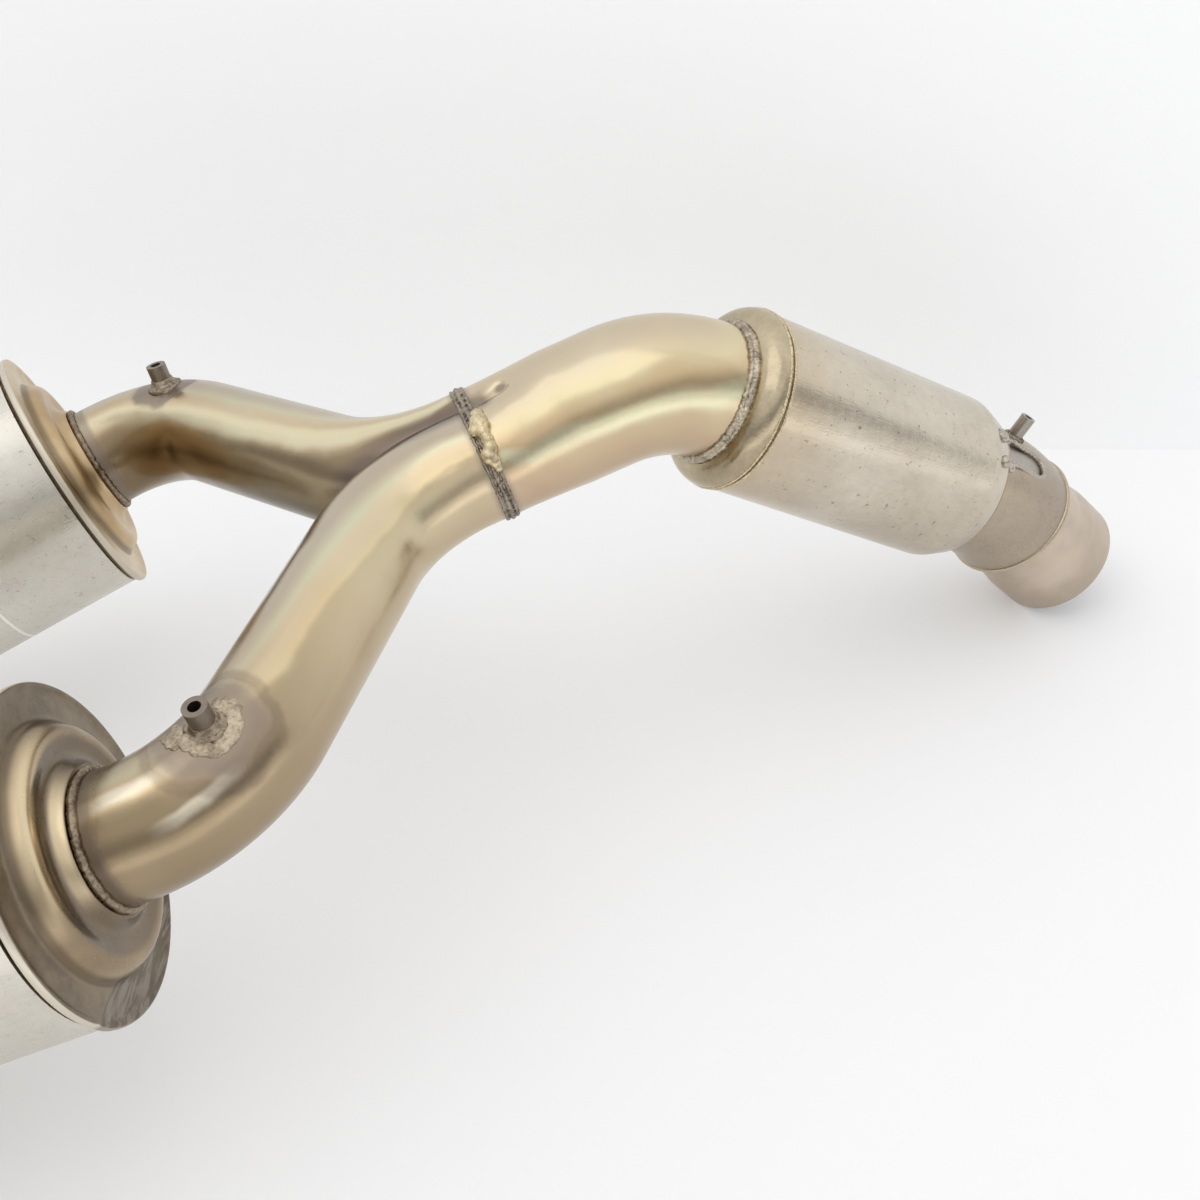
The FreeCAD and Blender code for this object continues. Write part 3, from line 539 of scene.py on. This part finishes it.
grey_steel = scratched_steel("grey_nipple", tone(122, 112, 102), tone(158, 147, 134), 0.42)
liner_finish = scratched_steel("grey_liner", tone(164, 158, 150), tone(192, 187, 180), 0.4)
polished_lip = scratched_steel("polished_lip", tone(180, 165, 142), tone(208, 195, 170), 0.2)
rim_finish = scratched_steel("silver_rim", tone(160, 150, 138), tone(206, 198, 186), 0.28)
wool_finish = scratched_steel("wool", tone(200, 190, 168), tone(220, 210, 190), 0.9, metallic=0.0)

BROWN_CAP = (tone(140, 123, 101), tone(172, 153, 125), tone(118, 107, 93), tone(154, 141, 122))
FINISHES = {
    "main_pipe": pipe_finish, "right_branch_pipe": pipe_finish, "left_branch_pipe": pipe_finish,
    "right_front_cap": cap_steel("right_cap", Vector, *BROWN_CAP, True, True),
    "left_front_cap": cap_steel("left_cap", mirrored, tone(182, 156, 120), tone(208, 184, 146), tone(200, 178, 146),
                                tone(222, 208, 182), roughness=0.3),
    "right_rear_cap": cap_steel("right_rear_cap", Vector, *BROWN_CAP, True),
    "left_rear_cap": cap_steel("left_rear_cap", mirrored, *BROWN_CAP, True),
    "right_can_shell": can_finish, "left_can_shell": far_can_finish,
    "right_core_tube": sooted_tube("right_outlet", outlet_middle, outlet_dir, OUTLET_RADIUS * MM, GOLD, STRAW),
    "left_core_tube": sooted_tube("left_outlet", mirrored(outlet_middle), mirrored(outlet_dir), OUTLET_RADIUS * MM,
                                  GOLD, STRAW),
    "right_packing": wool_finish, "left_packing": wool_finish, "substrate_mat": wool_finish,
    "catalyst_substrate": wool_finish,
    "catalyst_end_cap": scratched_steel("golden_cap", tone(164, 150, 126), tone(208, 194, 164), 0.21),
    "catalyst_shell": catalyst_finish,
    "inlet_sleeve": inlet_finish, "inlet_liner": liner_finish, "inlet_tip": tip_finish,
    "inlet_post": scratched_steel("silver_post", tone(150, 142, 132), tone(184, 176, 164), 0.34),
    "right_nipple": grey_steel, "left_nipple": grey_steel,
    "collector_weld": grey_bead, "catalyst_weld": silver_bead,
    "right_neck_weld": brown_bead, "left_neck_weld": brown_bead,
    "right_nipple_pad": bead_finish, "left_nipple_pad": bead_finish,
}
for name, finish in FINISHES.items():
    nodes[name].data.materials.clear()
    nodes[name].data.materials.append(finish)


# Pieces that take the place of plain CAD solids, and weld metal on them.

def finished(name, mesh, finish, slot, *replaced):
    """Put a made mesh into the scene as a piece of the exhaust."""
    mesh.materials.clear()
    mesh.materials.append(finish)
    mesh.shade_smooth()
    piece = bpy.data.objects.new(name, mesh)
    bpy.context.scene.collection.objects.link(piece)
    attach(piece, "root")
    if replaced:
        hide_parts(*replaced)


straight = MAIN_STRAIGHT * MM
bow = MAIN_BEND * math.radians(MAIN_TURN)
main_length = straight + bow + MAIN_INSERT * MM


def main_stations():
    """Stations along the main pipe: arc length, centre and heading."""
    count = 96
    for i in range(count + 1):
        s = main_length * i / count
        if s <= straight:
            yield s, collector + out_dir * s, out_dir
        elif s <= straight + bow:
            angle = (s - straight) / MAIN_BEND
            heading = Matrix.Rotation(angle, 3, "Y") @ out_dir
            inward = Matrix.Rotation(math.radians(90), 3, "Y") @ out_dir
            centre = bend_start + inward * MAIN_BEND
            yield s, centre - (Matrix.Rotation(angle, 3, "Y") @ inward) * MAIN_BEND, heading
        else:
            yield s, cap_seat + cat_dir * (s - straight - bow), cat_dir


def main_radius(s, theta):
    """Outer radius of the main pipe: two lobes at the collector, round after the blend."""
    valley_round = 0.004
    reach = LOBE * math.sqrt(math.cos(theta) ** 2 + valley_round)
    lobes = reach + math.sqrt(BRANCH_RADIUS ** 2 - (LOBE * math.sin(theta)) ** 2)
    blend = min(1.0, max(0.0, (s - LOBE_COLLAR * MM) / (LOBE_BLEND * MM)))
    return lobes * (1 - blend) + MAIN_RADIUS * blend


def main_skin():
    """The main pipe with the dimple where the valley between the lobes runs out."""
    around = 128
    fade = 12 * MM
    dents = ((dimple, 3.0, 3.6), (valley, 1.4, 4.5), (bulge, -0.8, 8))
    solid = bmesh.new()
    rings = []
    for s, centre, heading in main_stations():
        top = heading.cross(sideways) * -1
        outer = []
        inner = []
        for k in range(around):
            theta = 2 * math.pi * k / around
            arm = sideways * math.cos(theta) + top * math.sin(theta)
            radius = main_radius(s, theta)
            place = centre + arm * radius
            dent = sum(depth * MM * math.exp(-((place - spot).length / (reach * MM)) ** 2)
                       for spot, depth, reach in dents)
            wave = (0.35 * noise.noise(place * 28) - 0.25) * MM * min(1, s / fade, (main_length - s) / fade)
            place = place - dimple_normal * dent + arm * wave
            outer.append(solid.verts.new(place))
            inner.append(solid.verts.new(centre + arm * (radius - MAIN_WALL)))
        rings.append((outer, inner))
    for (outer, inner), (outer2, inner2) in zip(rings, rings[1:]):
        for k in range(around):
            j = (k + 1) % around
            solid.faces.new((outer[k], outer[j], outer2[j], outer2[k]))
            solid.faces.new((inner[k], inner2[k], inner2[j], inner[j]))
    for (outer, inner), flip in ((rings[0], False), (rings[-1], True)):
        for k in range(around):
            j = (k + 1) % around
            face = (outer[k], inner[k], inner[j], outer[j])
            solid.faces.new(face[::-1] if flip else face)
    bmesh.ops.recalc_face_normals(solid, faces=solid.faces)
    mesh = bpy.data.meshes.new("main_pipe_skin")
    solid.to_mesh(mesh)
    solid.free()
    return mesh


finished("main_pipe_skin", main_skin(), pipe_finish, "pipe", "main_pipe")


# The front caps' outline, as reach and radius in mm: the face from the flange to the collar, then its back.
CAP_FACE = [(0.0, 62.2), (0.0, 63.2), (0.7, 63.72), (2.2, 63.72), (3.0, 63.2), (3.0, 62.2), (2.3, 60.6), (2.0, 58.0),
            (2.2, 54.0), (2.5, 50.4), (3.4, 48.6), (5.8, 47.2), (8.1, 45.7), (9.4, 43.9), (9.8, 42.0), (9.6, 40.0),
            (9.1, 38.0), (8.6, 36.0), (8.6, 34.2), (9.1, 32.4), (10.3, 30.8), (11.8, 29.5), (13.4, 28.6)]
CAP_BACK = [(13.4, 25.6), (5.6, 25.6), (4.6, 34.0), (7.4, 39.5), (9.0, 42.0), (7.2, 44.0), (1.2, 47.2), (0.2, 50.0),
            (0.2, 58.0), (-1.0, 58.7), (-13.9, 58.7), (-13.9, 60.6), (0.0, 60.6)]


def smooth_line(points, steps):
    """A smooth line through points, with a number of steps between each two."""
    line = []
    for i in range(len(points) - 1):
        p0, p1, p2, p3 = (Vector(points[max(0, min(len(points) - 1, i + k))]) for k in (-1, 0, 1, 2))
        for k in range(steps):
            t = k / steps
            line.append(0.5 * (2 * p1 + (p2 - p0) * t + (2 * p0 - 5 * p1 + 4 * p2 - p3) * t * t
                               + (3 * p1 - p0 - 3 * p2 + p3) * t ** 3))
    return line + [Vector(points[-1])]


def turned_skin(centre, axis, profile, around=240, bend=None):
    """A closed outline of reach and radius pairs, in mm, turned about an axis; bend may move its points."""
    arm = axis.orthogonal().normalized()
    other = axis.cross(arm)
    solid = bmesh.new()
    rings = []
    for k in range(around):
        t = 2 * math.pi * k / around
        out = arm * math.cos(t) + other * math.sin(t)
        ring = []
        for reach, radius in profile:
            place = centre + axis * reach * MM + out * radius * MM
            ring.append(solid.verts.new(bend(place, reach, radius) if bend else place))
        rings.append(ring)
    for ring, following in zip(rings, rings[1:] + rings[:1]):
        for k in range(len(profile)):
            j = (k + 1) % len(profile)
            solid.faces.new((ring[k], ring[j], following[j], following[k]))
    bmesh.ops.recalc_face_normals(solid, faces=solid.faces)
    mesh = bpy.data.meshes.new("turned_skin")
    solid.to_mesh(mesh)
    solid.free()
    return mesh


def creased(place, reach, radius):
    """Bend the near flange back beyond its crease."""
    away = (place - crease_start).dot(crease_out)
    if radius > 48 and reach >= 0 and away > -4 * MM:
        place -= can_dir * min(1.4 * MM, max(0.0, 0.16 * away))
        place += can_dir * 0.45 * MM * math.exp(-(away / (1.1 * MM)) ** 2)
    return place


shoulder = smooth_line([(0.1, 32.2), (0.3, 34.8), (1.4, 38.0), (3.8, 40.8), (7.0, 42.4), (10.0, 42.8),
                        (11.2, 42.8)], 6)
shoulder += [Vector(p) for p in ((11.4, 42.6), (11.4, 41.6), (9.0, 41.4), (5.6, 39.8), (2.8, 36.8), (1.9, 34.6),
                                 (1.9, 32.2))]
finished("catalyst_cap_skin", turned_skin(cap_seat, cat_dir, shoulder), FINISHES["catalyst_end_cap"], "catalyst",
         "catalyst_end_cap")

cap_line = smooth_line(CAP_FACE, 4) + [Vector(p) for p in CAP_BACK]
finished("right_cap_skin", turned_skin(rim, can_dir, cap_line, 240, creased), FINISHES["right_front_cap"], "cap",
         "right_front_cap")
finished("left_cap_skin", turned_skin(mirrored(rim), mirrored(can_dir), cap_line), FINISHES["left_front_cap"], "cap",
         "left_front_cap")


RIPPLE_INPUTS = {
    "Spacing": "NodeSocketFloat", "Radius": "NodeSocketFloat", "Length": "NodeSocketFloat",
    "Jitter": "NodeSocketFloat", "Variation": "NodeSocketFloat", "Seed": "NodeSocketInt",
}


def ripple_tree():
    """Weld ripples: flattened drops set along a path, each turned to face along it."""
    group = bpy.data.node_groups.new("weld_ripples", "GeometryNodeTree")
    made = Tree(group)
    group.interface.new_socket("Path", in_out="INPUT", socket_type="NodeSocketGeometry")
    names = {}
    for name, kind in RIPPLE_INPUTS.items():
        names[name] = group.interface.new_socket(name, in_out="INPUT", socket_type=kind).identifier
    group.interface.new_socket("Bead", in_out="OUTPUT", socket_type="NodeSocketGeometry")
    given = made.node("NodeGroupInput", out=None)
    take = {name: Field(made, given.outputs[name]) for name in ["Path", *RIPPLE_INPUTS]}
    points = made.node("GeometryNodeResampleCurve", {"mode": "LENGTH"},
                       {"Curve": take["Path"], "Length": take["Spacing"]})
    shake = made.node("FunctionNodeRandomValue", {"data_type": "FLOAT_VECTOR"},
                      {0: (-1, -1, -1), 1: (1, 1, 1), "Seed": take["Seed"]})
    shift = made.node("ShaderNodeVectorMath", {"operation": "SCALE"}, {0: shake, "Scale": take["Jitter"]})
    moved = made.node("GeometryNodeSetPosition", {}, {"Geometry": points, "Offset": shift})
    turn = made.node("FunctionNodeAlignRotationToVector", {"axis": "Z"},
                     {"Vector": made.node("GeometryNodeInputTangent")})
    size = made.node("FunctionNodeRandomValue", {"data_type": "FLOAT"},
                     {2: 1 - take["Variation"], 3: 1 + take["Variation"], "Seed": take["Seed"] + 1}, 1)
    width = take["Radius"] * size
    scale = made.node("ShaderNodeCombineXYZ", {}, {"X": width, "Y": width, "Z": take["Length"]})
    drop = made.node("GeometryNodeMeshIcoSphere", {}, {"Radius": 1.0, "Subdivisions": 2})
    drops = made.node("GeometryNodeInstanceOnPoints", {},
                      {"Points": moved, "Instance": drop, "Rotation": turn, "Scale": scale})
    real = made.node("GeometryNodeRealizeInstances", {}, {"Geometry": drops})
    made.node("NodeGroupOutput", {}, {"Bead": real}, None)
    return group, names


ripples, ripple_names = ripple_tree()


def plain_mesh(piece):
    """The evaluated shape of an object as a mesh of its own; the object is then removed."""
    bpy.context.view_layer.update()
    graph = bpy.context.evaluated_depsgraph_get()
    mesh = bpy.data.meshes.new_from_object(piece.evaluated_get(graph))
    piece.modifiers.clear()
    bpy.data.objects.remove(piece)
    return mesh


def ripple_mesh(path, closed, **sizes):
    """Weld ripples along a path of points."""
    curve = bpy.data.curves.new("bead_path", "CURVE")
    curve.dimensions = "3D"
    spline = curve.splines.new("POLY")
    spline.points.add(len(path) - 1)
    for point, place in zip(spline.points, path):
        point.co = (*place, 1)
    spline.use_cyclic_u = closed
    carrier = bpy.data.objects.new("bead_path", curve)
    bpy.context.scene.collection.objects.link(carrier)
    modifier = carrier.modifiers.new("ripples", "NODES")
    modifier.node_group = ripples
    for name, value in sizes.items():
        modifier[ripple_names[name]] = value
    return plain_mesh(carrier)


def drop_mesh(place, normal, wide, tall):
    """One flattened drop of weld metal lying on a surface."""
    solid = bmesh.new()
    bmesh.ops.create_icosphere(solid, subdivisions=3, radius=1)
    turn = Vector(normal).to_track_quat("Z", "Y").to_matrix().to_4x4()
    size = Matrix.Diagonal((wide, wide, tall, 1))
    solid.transform(Matrix.Translation(place) @ turn @ size)
    mesh = bpy.data.meshes.new("drop")
    solid.to_mesh(mesh)
    solid.free()
    return mesh


def fused(meshes, voxel, smooth=2, rough=0.0, scale=900.0):
    """Melt several meshes into one closed skin and roughen it."""
    solid = bmesh.new()
    for mesh in meshes:
        solid.from_mesh(mesh)
    joined = bpy.data.meshes.new("fused")
    solid.to_mesh(joined)
    solid.free()
    piece = bpy.data.objects.new("fused", joined)
    bpy.context.scene.collection.objects.link(piece)
    melt = piece.modifiers.new("melt", "REMESH")
    melt.mode = "VOXEL"
    melt.voxel_size = voxel
    soften = piece.modifiers.new("soften", "SMOOTH")
    soften.factor = 0.5
    soften.iterations = smooth
    mesh = plain_mesh(piece)
    if rough:
        normals = [v.normal.copy() for v in mesh.vertices]
        for vertex, normal in zip(mesh.vertices, normals):
            vertex.co += normal * rough * noise.noise(vertex.co * scale)
    return mesh


def circle_path(centre, axis, radius, count=180):
    side = axis.orthogonal().normalized()
    other = axis.cross(side)
    turns = [2 * math.pi * k / count for k in range(count)]
    return [centre + (side * math.cos(t) + other * math.sin(t)) * radius for t in turns]


def collector_path(radius, count=220):
    """The two-lobed outline of the collector joint."""
    top = out_dir.cross(sideways) * -1
    path = []
    for k in range(count):
        theta = 2 * math.pi * k / count
        reach = LOBE * abs(math.cos(theta))
        away = reach + math.sqrt(radius ** 2 - (LOBE * math.sin(theta)) ** 2)
        path.append(collector + (sideways * math.cos(theta) + top * math.sin(theta)) * away)
    return path


def seated(x, y, wide, tall, *names):
    """A drop of weld metal seated on a piece where the picture shows it."""
    place, normal = on_surface(x, y, *names)
    return drop_mesh(place, normal, wide * MM, tall * MM)


PIPES = ("main_pipe", "right_branch_pipe", "left_branch_pipe", "collector_weld")
rows = []
for shift, radius, seed in ((-2.4, 0.85, 11), (0.0, 1.2, 12), (2.4, 0.85, 13)):
    path = [place + out_dir * shift * MM for place in collector_path(25.55 * MM)]
    rows.append(ripple_mesh(path, True, Spacing=1.0 * MM, Radius=radius * MM, Length=0.9 * MM, Jitter=0.18 * MM,
                            Variation=0.18, Seed=seed))
finished("collector_bead", fused(rows, 0.3 * MM, 2, 0.15 * MM, 600), grey_bead, "weld", "collector_weld")

blobs = [seated(x, y, wide, tall, *PIPES) for x, y, wide, tall in (
    (479, 422, 4.6, 2.9), (477, 414, 3.4, 2.2), (482, 431, 3.6, 2.4), (474, 431, 3.0, 1.9), (488, 440, 3.2, 2.2),
    (491, 448, 3.4, 2.3), (489, 456, 3.6, 2.4), (495, 461, 2.8, 2.0), (499, 468, 2.0, 1.6))]
finished("collector_blobs", fused(blobs, 0.45 * MM, 16, 0.5 * MM, 140), gold_bead, "weld")

for side, flip, seed in (("right", Vector, 3), ("left", mirrored, 5)):
    ring = circle_path(flip(rim + can_dir * 14.8 * MM), flip(can_dir), 26.1 * MM)
    bead = ripple_mesh(ring, True, Spacing=0.9 * MM, Radius=1.85 * MM, Length=0.9 * MM, Jitter=0.18 * MM,
                       Variation=0.12, Seed=seed)
    finished(side + "_neck_bead", fused([bead], 0.4 * MM, 2, 0.2 * MM, 700), brown_bead, "weld",
             side + "_neck_weld")

rows = []
for shift, radius, size, seed in ((-3.0, 31.9, 1.3, 8), (-0.6, 32.6, 1.7, 9)):
    ring = circle_path(cap_seat + cat_dir * shift * MM, cat_dir, radius * MM, 220)
    rows.append(ripple_mesh(ring, True, Spacing=1.0 * MM, Radius=size * MM, Length=1.0 * MM, Jitter=0.2 * MM,
                            Variation=0.15, Seed=seed))
finished("catalyst_bead", fused(rows, 0.4 * MM, 1, 0.2 * MM, 700), silver_bead, "weld", "catalyst_weld")

rims = []
for shift, radius, seed in ((10.6, 42.6, 21), (13.3, 42.2, 22)):
    ring = circle_path(cap_seat + cat_dir * shift * MM, cat_dir, radius * MM, 260)
    rims.append(ripple_mesh(ring, True, Spacing=0.6 * MM, Radius=0.75 * MM, Length=0.8 * MM, Jitter=0.08 * MM,
                            Variation=0.15, Seed=seed))
finished("catalyst_rim_seam", fused(rims, 0.25 * MM, 1), gold_bead, "weld")


def inside(x, y, corners):
    """True where a place in the picture lies inside a closed outline."""
    hit = False
    for (x0, y0), (x1, y1) in zip(corners, corners[1:] + corners[:1]):
        if (y0 > y) != (y1 > y) and x < (x1 - x0) * (y - y0) / (y1 - y0) + x0:
            hit = not hit
    return hit


def crumbs(corners, count, seed, wide, tall, node):
    """Loose drops scattered over an outline in the picture."""
    chance = random.Random(seed)
    xs = [x for x, _ in corners]
    ys = [y for _, y in corners]
    made = []
    while len(made) < count:
        x = chance.uniform(min(xs), max(xs))
        y = chance.uniform(min(ys), max(ys))
        if inside(x, y, corners):
            size = chance.uniform(0.6, 1.0)
            made.append(seated(x, y, wide * size, tall * chance.uniform(0.5, 1.0), node))
    return made


crust = [(190, 732), (185, 741), (195, 751), (212, 754), (223, 748), (232, 739), (238, 725), (236, 709), (227, 700),
         (213, 702), (217, 713), (222, 723), (217, 733), (204, 733)]
pieces = crumbs(crust, 130, 4, 3.0, 0.9, "right_branch_pipe")
pieces += crumbs([(162, 738), (176, 727), (190, 728), (190, 748), (172, 746)], 45, 6, 2.8, 0.6, "right_branch_pipe")
finished("right_nipple_crust", fused(pieces, 0.4 * MM, 3, 0.3 * MM, 500), pale_crust, "weld")


def fillet(base, axis, wide, tall):
    """The cone of weld metal at a nipple's foot."""
    cone = smooth_line([(-4.0, wide), (0.0, wide), (tall * 0.3, wide * 0.75), (tall, 5.0)], 4)
    return turned_skin(base, axis, cone + [Vector((tall, 3.0)), Vector((-4.0, 3.0))], 48)


foot = fillet(nipple_base, nipple_dir, 8.0, 3.2)
finished("right_nipple_bead", fused([foot], 0.35 * MM, 2, 0.5 * MM, 330), bead_finish, "weld", "right_nipple_pad")
foot = fillet(mirrored(nipple_base), mirrored(nipple_dir), 8.5, 4.0)
spatter = crumbs([(154, 394), (160, 388), (182, 390), (178, 397), (160, 399)], 14, 9, 1.2, 0.5, "left_branch_pipe")
finished("left_nipple_bead", fused([foot, *spatter], 0.3 * MM, 2, 0.35 * MM, 400), bead_finish, "weld",
         "left_nipple_pad")

slot_dir = in_plane(tip_angle + SLEEVE_TURN / 2)
slot_top = Vector((-slot_dir.z, 0, slot_dir.x))
slot_out = slot_top * math.cos(math.radians(SLOT_TURN)) - sideways * math.sin(math.radians(SLOT_TURN))
slot_side = slot_dir.cross(slot_out)
slot_side_line = [x * SLOT_RUN / 10 for x in range(11)]
slot_line = [(x, -SLOT_HALF) for x in slot_side_line]
slot_line += [(SLOT_RUN + SLOT_HALF * math.cos(math.radians(t)), SLOT_HALF * math.sin(math.radians(t)))
              for t in range(-80, 90, 10)]
slot_line += [(x, SLOT_HALF) for x in reversed(slot_side_line)]
slot_path = []
for x, w in slot_line:
    arm = (slot_side * w + slot_out * math.sqrt(SLEEVE_RADIUS ** 2 - w ** 2)) * MM
    slot_path.append(tree_of("inlet_sleeve").find_nearest(cat_end + slot_dir * x * MM + arm * 1.02)[0] + arm * 0.012)
rim_bead = ripple_mesh(slot_path, False, Spacing=0.6 * MM, Radius=1.45 * MM, Length=0.9 * MM, Jitter=0.06 * MM,
                       Variation=0.12, Seed=41)
finished("slot_rim", fused([rim_bead], 0.3 * MM, 3, 0.15 * MM, 400), rim_finish, "inlet")
tacks = []
for x, y, wide in ((1003, 437, 3.4), (1007, 441, 2.4), (1006, 462, 3.4), (1011, 468, 2.6)):
    tacks.append(seated(x, y, wide, wide * 0.85, "inlet_sleeve", "catalyst_shell"))
finished("slot_tacks", fused(tacks, 0.3 * MM, 2, 0.4 * MM, 400), rim_finish, "weld")
lip_path = circle_path(sleeve_end - tip_dir * 0.8 * MM, tip_dir, 33.7 * MM, 260)
lip = ripple_mesh(lip_path, True, Spacing=0.7 * MM, Radius=1.4 * MM, Length=1.4 * MM, Jitter=0.0, Variation=0.02,
                  Seed=42)
finished("sleeve_lip", fused([lip], 0.3 * MM, 3), polished_lip, "inlet")
post_middle, post_dir = mount_line("inlet_post")
foot_path = circle_path(post_middle - post_dir * 6.0 * MM, post_dir, 4.2 * MM, 60)
foot = ripple_mesh(foot_path, True, Spacing=1.1 * MM, Radius=1.2 * MM, Length=1.1 * MM, Jitter=0.35 * MM,
                   Variation=0.3, Seed=35)
finished("post_bead", fused([foot], 0.3 * MM, 1, 0.2 * MM, 700), bead_finish, "weld")


# Floor, wall and light.

def stage_finish(name, colour, glow, front_only=False):
    """Pale paper; seen from its front only where a view from behind has to pass through."""
    f = Finish(name)
    clouds = f.grain(3, 2, 0.5)
    tint = f.mix(clouds, colour, tuple(c * 0.985 for c in colour[:3]) + (1.0,))
    shader = f.node("ShaderNodeBsdfPrincipled", {}, {
        "Base Color": tint, "Roughness": 0.8, "Emission Color": (1, 1, 1, 1), "Emission Strength": glow})
    if front_only:
        shader = f.node("ShaderNodeMixShader", {}, {
            0: f.node("ShaderNodeNewGeometry", out="Backfacing"), 1: shader, 2: f.node("ShaderNodeBsdfTransparent")})
    return f.done(shader)


def on_floor(x, y):
    line = sight(x, y)
    return eye - line * (eye.z / line.z)


def sheet(name, corners, finish):
    mesh = bpy.data.meshes.new(name)
    mesh.from_pydata([tuple(c) for c in corners], [], [tuple(range(len(corners)))])
    mesh.materials.append(finish)
    piece = bpy.data.objects.new(name, mesh)
    bpy.context.scene.collection.objects.link(piece)


WALL_FOOT = 449.5  # in the picture
WALL_HEIGHT = 5
WALL_MARGIN = 6
FLOOR_REACH = 12
left_foot = on_floor(0, WALL_FOOT)
right_foot = on_floor(PICTURE, WALL_FOOT)
run = (right_foot - left_foot).normalized()
front = Vector((run.y, -run.x, 0)) * FLOOR_REACH
up = Vector((0, 0, WALL_HEIGHT))
left_end = left_foot - run * WALL_MARGIN
right_end = right_foot + run * WALL_MARGIN
floor_finish = stage_finish("pale_floor", tone(232, 232, 233), 0.19)
wall_finish = stage_finish("pale_wall", tone(234, 235, 236), 0.22, True)
sheet("floor", [left_end - front, left_end + front, right_end + front, right_end - front], floor_finish)
sheet("wall", [left_end, right_end, right_end + up, left_end + up], wall_finish)

world = bpy.data.worlds.new("room")
bpy.context.scene.world = world
world.use_nodes = True
world.node_tree.nodes.clear()
room = Tree(world.node_tree)
heading = room.node("ShaderNodeTexCoord", out="Generated")
height = room.node("ShaderNodeSeparateXYZ", {}, {0: heading}, 2)
level = 0.6 + 0.55 * height.band(0.32, 0.6) + 0.7 * height.band(0.18, 0.06)
level = level + room.node("ShaderNodeLightPath", out="Is Camera Ray") * (0.96 - level)
room.node("ShaderNodeOutputWorld", {}, {0: room.node("ShaderNodeBackground", {}, {1: level})}, None)


def softbox(name, place, target, width, depth, radiance):
    data = bpy.data.lights.new(name, "AREA")
    data.shape = "RECTANGLE"
    data.size = width
    data.size_y = depth
    data.energy = radiance * math.pi * width * depth
    lamp = bpy.data.objects.new(name, data)
    lamp.location = place
    lamp.rotation_mode = "QUATERNION"
    lamp.rotation_quaternion = (Vector(target) - Vector(place)).to_track_quat("-Z", "Y")
    lamp.visible_camera = False
    bpy.context.scene.collection.objects.link(lamp)


softbox("overhead", (-0.1, -0.15, 1.6), (0.1, 0.05, 0.1), 1.8, 1.1, 0.5)
softbox("reflector", (0.15, -1.6, 0.02), (0.15, -1.59, 1.0), 2.6, 2.1, 0.5)

bpy.context.scene.view_settings.view_transform = "Standard"
